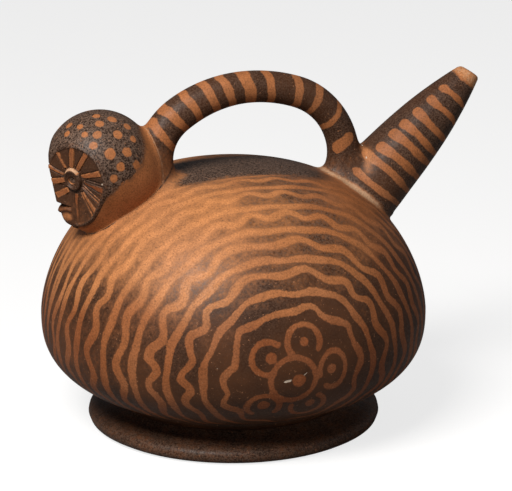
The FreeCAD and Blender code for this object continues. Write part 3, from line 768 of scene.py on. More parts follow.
# rings of the flower: middle, half widths, first and last turn of the stroke, and the dot in it
flowerRings = (
    {"middle": (-0.9, -0.4), "halves": (9.15, 9.2), "turns": (-180, 180), "dot": (1.2, -0.9, 2.6)},
    {"middle": (3.5, 14.6), "halves": (6.8, 6.8), "turns": (-28, 222), "dot": (3.8, 14.5, 1.8)},
    {"middle": (-11.2, 9.1), "halves": (6.6, 6.5), "turns": (52, 288), "dot": (-9.9, 9.2, 2.2)},
    {"middle": (15.8, 1.8), "halves": (5.7, 7.6), "turns": (-120, 190), "dot": (15.2, 2.1, 2.0)},
    {"middle": (-12.2, -12.4), "halves": (6.6, 5.8), "turns": (-40, 230), "dot": (-12.2, -11.6, 2.3)},
    {"middle": (6.6, -13.9), "halves": (7.2, 6.2), "turns": (-190, 60), "dot": (7.4, -12.8, 2.0)},
)
flowerStroke = {"width": 2.3, "merge": 0.8}


def flowerGap(u, v):
    gap = np.full(len(u), farOff)
    for ring in flowerRings:
        (middleU, middleV), (halfU, halfV) = ring["middle"], ring["halves"]
        placeU, placeV = (u - middleU) / halfU, (v - middleV) / halfV
        size = (halfU + halfV) / 2
        away = np.abs(np.hypot(placeU, placeV) - 1) * size
        first, last = ring["turns"]
        if last - first < 360:
            around = (np.degrees(np.arctan2(placeV, placeU)) - first) % 360 + first
            past = np.where(around > (last + first + 360) / 2, 360 + first - around, around - last)
            away = np.hypot(away, np.radians(np.maximum(past, 0)) * size)
        gap = softJoin(gap, away - flowerStroke["width"] / 2, flowerStroke["merge"])
        dotU, dotV, dot = ring["dot"]
        gap = np.minimum(gap, np.hypot(u - dotU, v - dotV) - dot)
    return gap


# how far the dark slip has worn through, and how warm the clay is: place on the flank, breadth, share
wearSpots = ((0, 0, 14, 0.05), (-14, 10, 10, 0.05), (14, 8, 10, 0.06), (0, 27, 8, 0.22), (-26, 0, 8, 0.1),
             (27, 5, 8, 0.1), (0, -32, 14, 0.0), (-40, -20, 14, 0.02), (36, -22, 14, 0.02),
             (-30, 26, 10, 0.3), (-28, 42, 10, 0.62), (-50, 30, 11, 0.55), (-46, 52, 12, 0.86),
             (-62, 38, 11, 0.7), (-76, 24, 10, 0.48), (-88, 10, 10, 0.38), (-60, 4, 12, 0.34),
             (-44, 8, 10, 0.22), (-95, 30, 12, 0.35), (-80, 50, 12, 0.75), (-62, 70, 12, 0.95),
             (-40, 74, 12, 0.92), (-24, 60, 10, 0.74), (0, 42, 9, 0.46), (0, 58, 9, 0.6), (0, 74, 9, 0.66),
             (0, 90, 9, 0.62), (22, 48, 10, 0.46), (30, 68, 11, 0.55), (28, 88, 11, 0.55),
             (50, 55, 11, 0.62), (48, 28, 10, 0.28), (66, 30, 11, 0.3), (84, 16, 12, 0.25),
             (60, -6, 12, 0.12), (92, -10, 14, 0.12), (60, 76, 12, 0.95), (84, 50, 12, 0.58),
             (-20, 96, 10, 0.8), (-100, 60, 12, 0.8), (-115, 10, 14, 0.36), (100, 30, 14, 0.25))
# warmth of the clay, which also paints light and shade: paler high on the left where light falls, painted
# shade low down and round the flower
toneAndLightSpots = ((0, 0, 20, 0.02), (-30, 0, 16, 0.2), (0, 40, 16, 0.56), (-40, 50, 16, 0.95),
             (-60, 60, 16, 1.0), (-70, 10, 16, 0.28), (-95, 0, 16, 0.08), (0, 80, 16, 0.85),
             (-30, 85, 16, 1.0), (0, 100, 14, 0.7), (35, 50, 16, 0.5), (40, 80, 16, 0.38),
             (60, 30, 16, 0.16), (85, 0, 18, 0.12), (75, 60, 18, 0.34), (0, -35, 18, 0.0),
             (-50, -30, 18, 0.12), (40, -25, 18, 0.0), (-100, 50, 18, 0.8))


def spotBlend(u, v, spots):
    total, weight = np.zeros(len(u)), np.full(len(u), 1e-9)
    for spotU, spotV, size, value in spots:
        pull = 1 / (1 + ((u - spotU) ** 2 + (v - spotV) ** 2) / (size * size)) ** 3
        total += pull * value
        weight += pull
    return total / weight


# in the paint tables a pair is where a change starts and where it is whole
potPaint = {
    "crownReach": (106, 116),
    "crownStart": (48, 66),
    "crownEnd": (122, 106),
    "crownWear": 0.10,
    "crownDark": 6,
    "crease": (11, 2.5),
    "creaseWear": 0.97,
    "leg": (9, 1.0),
    "legWear": 0.85,
    "legPale": 1.5,
    "legWarm": 0.80,
    "farLeg": (52, 70),
    "farLegCool": 0.45,
    # a black scratch beside the flower
    "scratch": ((-17.1, 18.9), (-15.4, 17.7), (-13.5, 17.4)),
    "scratchHalf": 0.4,
    # painted shade low on the pot: darker slip, redder clay and thinner strokes towards the foot
    "under": (38, 14),
    "shadeBelowShare": 0.9,
    "strokeShadeBelow": (30, 16),
    "strokeShadeThin": 0.9,
}


def paintOnPot(p):
    paint = potPaint
    reach, turn, u, v = onFlank(p)
    gap = np.minimum(waveGap(reach, turn), flowerGap(u, v))
    # the warmth spots hold painted light and shade as well as the clay's own tone
    wear, warm = spotBlend(u, v, wearSpots), spotBlend(u, v, toneAndLightSpots)
    # the crown under the bridge is plain and dark
    crown = rampTo(reach, *paint["crownReach"])
    crown = crown * rampTo(turn, *paint["crownStart"]) * rampTo(turn, *paint["crownEnd"])
    wear = wear * (1 - crown) + paint["crownWear"] * crown
    # light clay along the crease under the bird's neck
    crease = rampTo(np.minimum(neckGap(p), headGap(p)), *paint["crease"])
    wear, warm = np.maximum(wear, crease * paint["creaseWear"]), np.maximum(warm, crease)
    # reddish clay round the legs of the bridge and the foot of the spout
    leg = rampTo(np.minimum(bridgeGap(p), spoutGap(p)), *paint["leg"])
    legWarm = paint["legWarm"] - paint["farLegCool"] * rampTo(p[:, 0], *paint["farLeg"])
    wear, warm = np.maximum(wear, leg * paint["legWear"]), np.maximum(warm, leg * legWarm)
    gap = gap + crown * paint["crownDark"] - leg * paint["legPale"]
    ends = [np.array((*end, 0.0)) for end in paint["scratch"]]
    scratch = lineAway(np.column_stack((u, v, u * 0)), ends) < paint["scratchHalf"]
    gap, wear = np.where(scratch, plainDark, gap), np.where(scratch, 0, wear)
    # painted shade: the underside is darker and its strokes are thinner
    under = rampTo(p[:, 2], *paint["under"])
    gap = gap + paint["strokeShadeThin"] * rampTo(p[:, 2], *paint["strokeShadeBelow"])
    return gap, wear * (1 - under * paint["shadeBelowShare"]), warm * (1 - under)


def toned(tones, *places):
    return tones[0] + sum(share * place for share, place in zip(tones[1:], places))


# bands across the bridge: distance along the bar, lean, width
bridgeBands = ((35.4, -5.0, 3.4), (44.3, 1.2, 3.6), (53.0, 1.3, 3.6), (61.7, 1.8, 3.7), (69.2, 2.4, 3.6),
               (78.4, 3.2, 5.2), (87.8, 2.8, 3.6), (100.5, 2.9, 3.7), (109.8, 2.1, 3.3), (121.0, 3.4, 2.9))
bridgePaint = {
    "archMiddle": (9, 105),
    "barHalf": 6.6,
    "bandSway": 0.25,
    "bandRuns": 0.9,
    # a broad brush mark low on the bar
    "patch": ((45.0, -5.4, 116.4), (50.2, -6.6, 120.6)),
    "patchHalf": 2.5,
    "strokesFrom": 44,
    "strokesClear": 0.6,
    "strokesFade": 1.6,
    "headEnd": (37, 27),
    "spoutEnd": (132, 146),
    # on the bar, and what the head's end, the spout's end and the crust add
    "wear": (0.10, 0.56, 0.30, 0.5),
    "warm": (0.42, -0.05, -0.10, 0.3),
}

# strokes round the spout: distance along it at head and tail, turn of head and tail, width of the head
spoutStrokes = ((2.0, 4.6, -72, 60, 4.6), (11.3, 12.0, -68, 62, 4.6), (17.8, 19.4, -55, 64, 5.2),
                (25.3, 26.6, -56, 62, 5.0), (31.6, 31.8, -54, 60, 4.8), (39.0, 38.6, -54, 62, 4.6),
                (47.7, 47.1, -52, 60, 4.2), (55.2, 55.4, -54, 58, 3.8))
strokeShape = {"sway": 0.3, "swayRuns": 7, "neck": (0.02, 0.3), "neckThin": 0.34, "tail": (0.45, 1.0),
               "tailThin": 0.28}
# worn clay where the foot of the bridge leans on the spout
spoutCrust = {"x": 58.2, "sway": 0.8, "swayRuns": 0.7, "breadth": 2.6, "height": (103, 108), "from": 40}


def roundSpout(p):
    along, level, across = spoutPlace(p)
    return along, np.degrees(np.arctan2(level, np.abs(across)))


def spoutStrokeGap(along, turn):
    shape = strokeShape
    radius = np.maximum(softTable(along, spoutShape["girths"]), 2)
    gap = np.full(len(along), farOff)
    for headAlong, tailAlong, headTurn, tailTurn, width in spoutStrokes:
        share = np.clip((turn - headTurn) / (tailTurn - headTurn), 0, 1)
        here = headAlong * (1 - share) + tailAlong * share
        here = here + shape["sway"] * np.sin(share * shape["swayRuns"] + headAlong)
        aside = np.radians(turn - headTurn - share * (tailTurn - headTurn)) * radius
        thin = shape["neckThin"] * rampTo(share, *shape["neck"])
        thin = thin + shape["tailThin"] * rampTo(share, *shape["tail"])
        gap = np.minimum(gap, np.hypot(along - here, aside) - width / 2 * (1 - thin))
    return gap


def crustNear(p):
    shape = spoutCrust
    middle = shape["x"] + shape["sway"] * np.sin(p[:, 1] * shape["swayRuns"])
    side = np.exp(-((p[:, 0] - middle) / shape["breadth"]) ** 2)
    return side * rampTo(p[:, 2], *shape["height"]) * (p[:, 0] > shape["from"])


def barLift(p, travel):
    # height over the bar's middle line, outwards of the arch
    middleX, middleZ = bridgePaint["archMiddle"]
    places, travels = bridgeWalk()
    reaches = np.hypot(places[:, 0] - middleX, places[:, 2] - middleZ)
    order = np.argsort(travels)
    barReach = np.interp(travel, travels[order], reaches[order])
    outward = np.hypot(p[:, 0] - middleX, p[:, 2] - middleZ) - barReach
    return np.clip(outward / bridgePaint["barHalf"], -1, 1)


def paintOnBridge(p):
    paint = bridgePaint
    travel = bridgePlace(p)[1]
    lift = barLift(p, travel)
    gap = lineAway(seenSide(p), np.array(paint["patch"])) - paint["patchHalf"]
    for place, lean, width in bridgeBands:
        here = place - lean / 2 * lift + paint["bandSway"] * np.sin(p[:, 1] * paint["bandRuns"] + place)
        gap = np.minimum(gap, np.abs(travel - here) - width / 2)
    # strokes of the spout run on over the foot of the bridge
    beside = paint["strokesFade"] * np.maximum(spoutGap(p) - paint["strokesClear"], 0)
    beside = beside + farOff * (p[:, 0] <= paint["strokesFrom"])
    gap = np.minimum(gap, spoutStrokeGap(*roundSpout(p)) + beside)
    places = rampTo(travel, *paint["headEnd"]), rampTo(travel, *paint["spoutEnd"]), crustNear(p)
    return gap, toned(paint["wear"], *places), toned(paint["warm"], *places)


spoutPaint = {
    "wornFrom": 63.6,
    "wornSway": 0.8,
    "tip": (62.5, 66.0),
    # on the spout, and what its tip and the crust add
    "wear": (0.12, 0.62, 0.70),
    "warm": (0.36, 0.55, 0.40),
}


def paintOnSpout(p):
    paint = spoutPaint
    along, turn = roundSpout(p)
    worn = paint["wornFrom"] + paint["wornSway"] * np.sin(np.radians(turn) * 3)
    gap = np.minimum(spoutStrokeGap(along, turn), worn - along)
    places = rampTo(along, *paint["tip"]), crustNear(p)
    return gap, toned(paint["wear"], *places), toned(paint["warm"], *places)


# dots on the bird's crown: place and radius
crownDots = ((-71.8, -2.2, 134.9, 1.5), (-68.8, -7.9, 135.3, 1.5), (-73.6, -5.9, 132.5, 1.5),
             (-68.1, -12.4, 133.1, 1.5), (-61.1, -5.3, 138.7, 1.8), (-61.2, -10.6, 136.7, 1.8),
             (-55.4, -8.7, 137.6, 2.0), (-63.6, -14.9, 133.1, 1.7), (-65.8, -17.3, 129.4, 1.6),
             (-55.0, -15.8, 132.8, 2.0), (-49.7, -11.1, 134.7, 1.8), (-48.6, -15.5, 130.2, 1.6),
             (-59.9, -20.5, 126.3, 2.3), (-52.5, -19.8, 126.1, 2.1), (-55.9, -22.1, 120.7, 1.85),
             (-48.8, -20.1, 120.6, 1.65), (-59.1, -22.5, 116.1, 1.75))
headPaint = {
    "mirrorFrom": 3,
    # the plain neck starts at a slanting line and at the back of the skull
    "neckSlope": 0.736,
    "neckHeight": 152.85,
    "neckShare": 1.24,
    "backX": -42.6,
    "cornerRound": 6.0,
    "edgeShare": 0.42,
    "edgeSways": ((0.6, 0.7), (0.5, 0.9)),
    "neck": (2.2, -2.6),
    "edge": (2.6, 0.4),
    "back": (-50, -40),
    # on the crown, and what the neck adds, its edge, and the back of it
    "wear": (0.08, 0.75, 0.22),
    "warm": (0.46, -0.02, 0.25),
}


def paintOnHead(p):
    paint = headPaint
    gap = np.full(len(p), farOff)
    for x, y, z, size in crownDots:
        for side in (1, -1) if abs(y) > paint["mirrorFrom"] else (1,):
            gap = np.minimum(gap, np.linalg.norm(p - np.array((x, y * side, z)), axis=1) - size)
    line = p[:, 2] - paint["neckSlope"] * p[:, 0] - paint["neckHeight"]
    edge = softJoin(line / paint["neckShare"], paint["backX"] - p[:, 0], paint["cornerRound"])
    neck = rampTo(edge, *paint["neck"])
    (swayX, runX), (swayY, runY) = paint["edgeSways"]
    edge = (edge + swayX * np.sin(p[:, 0] * runX) + swayY * np.sin(p[:, 1] * runY)) * paint["edgeShare"]
    gap = softJoin(gap, edge, 1.0)
    wear = toned(paint["wear"], neck, rampTo(edge, *paint["edge"]) * (1 - neck))
    return gap, wear, toned(paint["warm"], neck, rampTo(p[:, 0], *paint["back"]) * neck)


skinPaint = {
    "passing": 0.9,  # how softly the paint of one piece passes into the next
    "neckX": -20,
    "creaseBreadth": 0.45,
    "creaseDark": 3,
    "creaseWear": 0.9,
    "deepest": (-1.2, -1.5),
    # grey of the dark slip, partly its own grey and partly painted sheen: on the pot low down, added high
    # up, and on the bridge and spout
    "ash": (0.04, 0.9, 0.42),
    # painted sheen: greyer high up on the pot and less so towards the spout's side
    "sheenHeight": (60, 108),
    "sheenFade": (20, 50),
    "sheenFadeShare": 0.6,
    # dusty clay along the joints
    "dustReach": (9.0, 1.5),
    "dustOffPot": (4.2, 0.8),
    "dustFrom": (30, 42),
    "dustLow": (98, 84),
    "dustLowShare": 0.6,
    "lineOff": 0.3,
    "lineBreadth": 0.7,
    "lineHeight": (104, 112),
    "lineShare": 0.8,
    "tipDust": (61, 65),
    "tipShare": 0.72,
    "dustPale": (0.8, 0.5),
    "dustWear": 0.95,
    "dustWarm": 0.8,
}


def jointDust(p, pot, head, bridge, spout, onSpout):
    paint = skinPaint
    dust = rampTo(np.minimum(bridge, spout), *paint["dustReach"]) * rampTo(pot, *paint["dustOffPot"])
    dust = dust * rampTo(p[:, 0], *paint["dustFrom"])
    dust = dust * (1 - paint["dustLowShare"] * rampTo(p[:, 2], *paint["dustLow"]))
    line = np.exp(-((head - bridge - paint["lineOff"]) / paint["lineBreadth"]) ** 2)
    line = line * (np.minimum(head, bridge) > paint["deepest"][1]) * (p[:, 0] < paint["neckX"])
    dust = np.maximum(dust, paint["lineShare"] * line * rampTo(p[:, 2], *paint["lineHeight"]))
    return np.maximum(dust, paint["tipShare"] * onSpout * rampTo(spoutPlace(p)[0], *paint["tipDust"]))


def paintOnSkin(p):
    paint = skinPaint
    gaps = pot, head, bridge, spout = potGap(p), birdGap(p), bridgeGap(p), spoutGap(p)
    weights = np.exp(-np.clip(gaps, -1, 40) / paint["passing"])
    weights[1] *= p[:, 0] < 0
    weights /= weights.sum(0)
    painted = np.array([paintOnPot(p), paintOnHead(p), paintOnBridge(p), paintOnSpout(p)])
    gap, wear, warm = (weights[:, None] * painted).sum(0)
    # a fine dark line in the crease under the neck
    crease = np.exp(-((head - pot) / paint["creaseBreadth"]) ** 2)
    crease = crease * (p[:, 0] < paint["neckX"]) * (np.minimum(head, pot) > paint["deepest"][0])
    gap, wear = gap + paint["creaseDark"] * crease, wear * (1 - paint["creaseWear"] * crease)
    low, high, others = paint["ash"]
    # painted sheen, partly the slip's own grey: stronger high up on the pot, weaker towards the spout and
    # full on the head
    upper = rampTo(p[:, 2], *paint["sheenHeight"])
    upper = upper * (1 - paint["sheenFadeShare"] * rampTo(p[:, 0], *paint["sheenFade"]))
    ash = weights[0] * (low + high * upper) + weights[1] + others * (weights[2] + weights[3])
    dust = jointDust(p, *gaps, weights[3])
    thinner, paler = paint["dustPale"]
    gap = gap * (1 - thinner * dust) - paler * dust
    wear, warm = np.maximum(wear, paint["dustWear"] * dust), np.maximum(warm, paint["dustWarm"] * dust)
    return gap, wear, warm, np.minimum(ash, 1) * (1 - dust) + (1 + dust) * dust


# pale chips where the surface has flaked: middle, run, half length and half breadth
chips = (((-6.2, -82.2, 42.6), (1, 0, 0.15), (1.7, 0.55)), ((1.6, -82.4, 45.0), (1, 0, 0.5), (1.1, 0.3)),
         ((-32.5, -75.5, 49.5), (1, 0, 0.2), (1.4, 0.35)), ((-37.6, 1.0, 117.5), (0.3, 1, 0.2), (1.0, 1.2)),
         ((58.3, -2.0, 115.6), (0.2, 1, -0.8), (2.4, 0.5)), ((58.0, -7.4, 111.4), (0, 1, -1), (1.6, 0.45)),
         ((57.4, -13.3, 98.6), (0.7, -0.3, -0.7), (2.6, 0.5)),
         ((60.6, -15.0, 94.6), (0.6, -0.2, -0.8), (2.2, 0.5)),
         ((108.6, -3.5, 145.2), (0.8, -0.5, 0.2), (1.8, 0.6)),
         ((111.2, -3.0, 143.6), (0.6, -0.3, -0.7), (1.4, 0.5)))


def chipGap(p):
    gap = np.full(len(p), farOff)
    for middle, run, (length, breadth) in chips:
        away, run = p - np.array(middle), np.array(run) / np.linalg.norm(run)
        along = away @ run
        across = np.linalg.norm(away - np.outer(along, run), axis=1)
        gap = np.minimum(gap, np.hypot(along / length, across / breadth) - 1)
    return gap


# what the slip's material reads at each point of a piece
paintNames = ("paint", "wear", "warm", "ash", "chip")


def setPaint(mesh, *values):
    for name, value in zip(paintNames, values):
        layer = mesh.attributes.new(name, "FLOAT", "POINT")
        value = np.broadcast_to(value, len(mesh.vertices))
        layer.data.foreach_set("value", np.ascontiguousarray(value, np.float32))


def paintSkin(part):
    p = readPoints(part.data)
    setPaint(part.data, *paintOnSkin(p), chipGap(p))


# looks: colours are linear shares of light given back
slipLook = {
    "darkDeep": (0.014, 0.006, 0.003),
    "darkGrey": (0.060, 0.028, 0.015),
    # dark slip at full sheen: partly its own grey, partly painted sheen
    "darkSheen": (0.165, 0.104, 0.074),
    "dust": (0.430, 0.255, 0.150),
    "darkRed": (0.088, 0.032, 0.012),
    "redClay": (0.168, 0.045, 0.013),
    "paleClay": (0.440, 0.178, 0.064),
    "wornClay": (0.340, 0.150, 0.072),
    "chip": (0.46, 0.37, 0.29),
    "specular": 0.17,
    "bump": 0.5,
    "bumpHeight": 0.0002,
    # grains: how many to the metre, detail and roughness
    "fine": (1500, 3, 0.6),
    "grain": (700, 3, 0.6),
    "patch": (170, 3, 0.55),
    "broad": (38, 3, 0.5),
    "speckle": (1150, 2, 0.5),
    # how much a grain moves what it plays on
    "wander": 1.5,
    "thinPatch": 0.5,
    "thinGrain": 0.9,
    "flakeCrumble": 1.6,
    "bareShade": 0.35,
    "clayRougher": 0.06,
    "grainHeight": 0.5,
    "flakeDepth": 0.6,
}

# how each grain or paint value is read: from, to, and what it gives at both
slipSteps = {
    "crumble": (0.1, 0.9, 1.0, 3.2),
    "softness": (0.3, 0.95, 0.30, 1.3),
    "lit": (0.40, 0.64),
    "red": (0.30, 0.70, 0.15, 0.75),
    "redInSheen": (0.0, 1.0, 1.0, 0.0),
    "worn": (0.22, 0.95, 0.0, 0.90),
    "wornClay": (0.35, 0.7, 0.0, 0.25),
    "dustCrumble": (1.0, 1.2, 0.0, 1.6),
    "dust": (1.05, 1.9),
    "bare": (0.3, 1.0, 0.10, 0.55),
    "fineShade": (0.32, 0.68, 1.14, 0.74),
    "patchShade": (0.3, 0.7, 0.90, 1.08),
    "poreShare": (0.0, 1.0, 0.35, 0.55),
    "pore": (0.60, 0.72, 0.0),
    "speckle": (0.66, 0.75, 0.0, 0.60),
    "flaked": (0.15, -0.15),
    "roughness": (0.3, 0.7, 0.42, 0.57),
}


class Wiring:
    def __init__(self, tree):
        self.tree = tree

    def node(self, kind, **settings):
        made = self.tree.nodes.new(kind)
        for name, value in settings.items():
            setattr(made, name, value)
        return made

    def link(self, source, target):
        if isinstance(source, (int, float)):
            target.default_value = source
        elif isinstance(source, tuple):
            target.default_value = (*source, 1) if len(source) < len(target.default_value) else source
        else:
            self.tree.links.new(source, target)

    def sum(self, kind, *values):
        made = self.node("ShaderNodeMath", operation=kind)
        for value, target in zip(values, made.inputs):
            self.link(value, target)
        return made.outputs[0]

    def sway(self, value, grain, amount):
        # the value moved up and down by the grain
        return self.sum("ADD", value, self.sum("MULTIPLY", self.sum("SUBTRACT", grain, 0.5), amount))

    def ramp(self, value, low, high, first=0.0, last=1.0):
        made = self.node("ShaderNodeMapRange", interpolation_type="SMOOTHSTEP")
        for source, target in zip((value, low, high, first, last), made.inputs):
            self.link(source, target)
        return made.outputs[0]

    def mix(self, share, first, second, kind="MIX"):
        made = self.node("ShaderNodeMix", data_type="RGBA", blend_type=kind)
        for source, place in ((share, 0), (first, 6), (second, 7)):
            self.link(source, made.inputs[place])
        return made.outputs[2]

    def noise(self, place, scale, detail, rough):
        made = self.node("ShaderNodeTexNoise")
        for name, source in (("Vector", place), ("Scale", scale), ("Detail", detail), ("Roughness", rough)):
            self.link(source, made.inputs[name])
        return made.outputs["Fac"]


def slipGroup():
    group = bpy.data.node_groups.new("slipPaint", "ShaderNodeTree")
    group.interface.new_socket("Place", in_out="INPUT", socket_type="NodeSocketVector")
    for name in paintNames:
        group.interface.new_socket(name.capitalize(), in_out="INPUT", socket_type="NodeSocketFloat")
    group.interface.new_socket("Colour", in_out="OUTPUT", socket_type="NodeSocketColor")
    for name in ("Roughness", "Height"):
        group.interface.new_socket(name, in_out="OUTPUT", socket_type="NodeSocketFloat")
    w = Wiring(group)
    given, out = w.node("NodeGroupInput"), w.node("NodeGroupOutput")
    paint, wear, warm, ash, chip = [given.outputs[name.capitalize()] for name in paintNames]
    look, step, place = slipLook, slipSteps, given.outputs["Place"]
    fine, grain, patch, broad, speckle = [w.noise(place, *look[name])
                                          for name in ("fine", "grain", "patch", "broad", "speckle")]
    # the brush's edge wanders a little and breaks up where the slip is worn
    edge = w.sway(w.sway(paint, patch, look["wander"]), grain, w.ramp(wear, *step["crumble"]))
    softness = w.ramp(wear, *step["softness"])
    painted = w.ramp(edge, softness, w.sum("MULTIPLY", softness, -1.0))
    # dark slip, thinned by wear
    # painted sheen: the dark slip greys where the sheen value is high, partly its own grey
    lit = w.mix(ash, look["darkGrey"], look["darkSheen"])
    dark = w.mix(w.ramp(fine, *step["lit"]), look["darkDeep"], lit)
    red = w.sum("MULTIPLY", w.ramp(broad, *step["red"]), w.ramp(ash, *step["redInSheen"]))
    dark = w.mix(red, dark, look["darkRed"])
    thin = w.sway(w.sway(wear, patch, look["thinPatch"]), grain, look["thinGrain"])
    worn = w.ramp(thin, *step["worn"])
    # bare clay, dusty along the joints
    clay = w.mix(warm, look["redClay"], look["paleClay"])
    clay = w.mix(w.ramp(broad, *step["wornClay"]), clay, look["wornClay"])
    dusty = w.sway(ash, grain, w.ramp(ash, *step["dustCrumble"]))
    clay = w.mix(w.ramp(dusty, *step["dust"]), clay, look["dust"])
    shaded = w.mix(look["bareShade"], clay, look["darkGrey"])
    bare = w.mix(w.ramp(wear, *step["bare"]), shaded, clay)
    colour = w.mix(painted, w.mix(worn, dark, bare), clay)
    colour = w.mix(1.0, colour, w.ramp(fine, *step["fineShade"]), "MULTIPLY")
    colour = w.mix(1.0, colour, w.ramp(patch, *step["patchShade"]), "MULTIPLY")
    # pores and specks
    pore = w.ramp(fine, *step["pore"], w.ramp(wear, *step["poreShare"]))
    colour = w.mix(pore, colour, look["darkGrey"])
    colour = w.mix(w.ramp(speckle, *step["speckle"]), colour, look["wornClay"])
    flaked = w.ramp(w.sway(chip, grain, look["flakeCrumble"]), *step["flaked"])
    w.link(w.mix(flaked, colour, look["chip"]), out.inputs["Colour"])
    rougher = w.sum("MULTIPLY", painted, look["clayRougher"])
    rough = w.sum("ADD", w.ramp(grain, *step["roughness"]), rougher)
    w.link(rough, out.inputs["Roughness"])
    height = w.sum("MULTIPLY", w.sum("ADD", fine, grain), look["grainHeight"])
    height = w.sum("SUBTRACT", height, w.sum("MULTIPLY", flaked, look["flakeDepth"]))
    w.link(height, out.inputs["Height"])
    return group


def slipMaterial(name, group):
    material = bpy.data.materials.new(name)
    material.use_nodes = True
    w = Wiring(material.node_tree)
    shader = material.node_tree.nodes["Principled BSDF"]
    use = w.node("ShaderNodeGroup")
    use.node_tree = group
    w.link(w.node("ShaderNodeTexCoord").outputs["Object"], use.inputs["Place"])
    for paint in paintNames:
        read = w.node("ShaderNodeAttribute", attribute_name=paint)
        w.link(read.outputs["Fac"], use.inputs[paint.capitalize()])
    bump = w.node("ShaderNodeBump")
    w.link(slipLook["bump"], bump.inputs["Strength"])
    w.link(slipLook["bumpHeight"], bump.inputs["Distance"])
    w.link(use.outputs["Height"], bump.inputs["Height"])
    w.link(use.outputs["Colour"], shader.inputs["Base Color"])
    w.link(use.outputs["Roughness"], shader.inputs["Roughness"])
    w.link(slipLook["specular"], shader.inputs["Specular IOR Level"])
    w.link(bump.outputs["Normal"], shader.inputs["Normal"])
    return material


# the camera and the lights are placed in metres
cameraPlace = {
    "place": (-0.3192, -0.9056, 0.3555),
    "rise": 16.231,
    "yaw": 20,
    "sensor": 36,
    "lens": 164.634,
    "clip": (0.05, 20),
}
studio = {
    "floorSize": 3,
    "floorTone": (0.24, 0.24, 0.24),
    "floorRoughness": 0.9,
    "floorSpecular": 0.1,
    "floorSeen": (0.77, 0.77, 0.77),
    "air": (0.13, 0.13, 0.135),
    "airSeen": (1.0, 1.0, 1.0),
}
lights = {
    "key": {"place": (-0.45, -0.40, 0.72), "aim": (-0.02, 0, 0.08), "size": (0.40, 0.32), "power": 12.2,
            "colour": (1, 0.97, 0.93)},
    "fill": {"place": (0.7, -0.7, 0.45), "aim": (0, 0, 0.06), "size": (0.7, 0.5), "power": 0.7,
             "colour": (1, 0.98, 0.96)},
}


def pointAt(item, place, way):
    item.location = Vector(place)
    item.rotation_mode = "QUATERNION"
    item.rotation_quaternion = Vector(way).to_track_quat("-Z", "Y")


def addCamera():
    look = cameraPlace
    data = bpy.data.cameras.new("camera")
    camera = putInScene("camera", data)
    bpy.context.scene.camera = camera
    rise, yaw = math.radians(look["rise"]), math.radians(look["yaw"])
    forward = (math.sin(yaw) * math.cos(rise), math.cos(yaw) * math.cos(rise), -math.sin(rise))
    pointAt(camera, look["place"], forward)
    data.sensor_width = look["sensor"]
    data.lens = look["lens"]
    data.clip_start, data.clip_end = look["clip"]


def addLight(name, look):
    data = bpy.data.lights.new(name, "AREA")
    data.shape = "RECTANGLE"
    data.size, data.size_y = look["size"]
    data.energy = look["power"]
    data.color = look["colour"]
    light = putInScene(name, data)
    pointAt(light, look["place"], Vector(look["aim"]) - Vector(look["place"]))


def addStudio():
    look = studio
    bm = bmesh.new()
    bmesh.ops.create_grid(bm, x_segments=2, y_segments=2, size=look["floorSize"])
    floor = newPiece("floor", bm)
    paper = bpy.data.materials.new("floorPaper")
    paper.use_nodes = True
    w = Wiring(paper.node_tree)
    shader = paper.node_tree.nodes["Principled BSDF"]
    w.link(look["floorTone"], shader.inputs["Base Color"])
    w.link(look["floorRoughness"], shader.inputs["Roughness"])
    w.link(look["floorSpecular"], shader.inputs["Specular IOR Level"])
    w.link(1.0, shader.inputs["Emission Strength"])
    seen = w.node("ShaderNodeLightPath").outputs["Is Camera Ray"]
    w.link(w.mix(seen, (0.0, 0.0, 0.0), look["floorSeen"]), shader.inputs["Emission Color"])
    floor.data.materials.append(paper)
    world = bpy.data.worlds.new("studio")
    bpy.context.scene.world = world
    world.use_nodes = True
    w = Wiring(world.node_tree)
    back = world.node_tree.nodes["Background"]
    seen = w.node("ShaderNodeLightPath").outputs["Is Camera Ray"]
    w.link(w.mix(seen, look["air"], look["airSeen"]), back.inputs["Color"])
    w.link(1.0, back.inputs["Strength"])
    for name, light in lights.items():
        addLight(name, light)


footShape = {
    # radius and height
    "ring": ((44.4, 16.5), (45.5, 10), (50, 5.5), (54.5, 2.2), (55.6, 0.3), (57, 0), (60.2, 0.2),
             (62.3, 1.4), (63, 3.3), (62.6, 5), (61.2, 6.3), (58.5, 7.2), (54.5, 8.4), (51.4, 10.4),
             (49.6, 13), (49, 16.5), (44.4, 16.5)),
    "coil": ((48.5, 10.8), (51.5, 11.2), (53.4, 13), (54.4, 16.2), (48.5, 16.2), (48.5, 10.8)),
    "steps": 160,
    # the fourth paint value greys the slip, partly its own grey and partly painted sheen
    "ringPaint": (plainDark, 0.38, 0.20, 0.7, farOff),
    "coilPaint": (plainDark, 0.12, 0.15, 0.0, farOff),
}


def makeFoot(name, part):
    foot = turnedPiece(name, footShape[part], footShape["steps"])
    setPaint(foot.data, *footShape[part + "Paint"])
    return foot


eyeShape = {
    "out": 10.5,
    "drop": 4.1,
    "steps": 72,
    # radius and height over the face
    "ring": ((1.6, -1.5), (1.6, -0.1), (1.75, 0.12), (2.3, 0.25), (2.9, 0.5), (3.3, 0.85), (3.8, 1.05),
             (4.3, 0.95), (4.7, 0.5), (4.95, -0.2), (4.95, -1.5), (1.6, -1.5)),
    "shift": (0.7, 0.45),
    "shiftReach": (1.7, 4.2),
    "narrower": 0.16,
    "hole": 1.65,
    # clay bared on the upper outer edge
    "baredStart": (12, 45),
    "baredEnd": (165, 130),
    "baredReach": (3.7, 4.1),
    # in the dark slip, and what bare clay adds
    "paint": (3, -4.5),
    "wear": (0.05, 0.7),
    "warm": (0.3, 0.5),
    # grey of the slip, partly painted sheen; beyond one it is dust on the bared clay
    "ash": (0.3, 1.4),
}


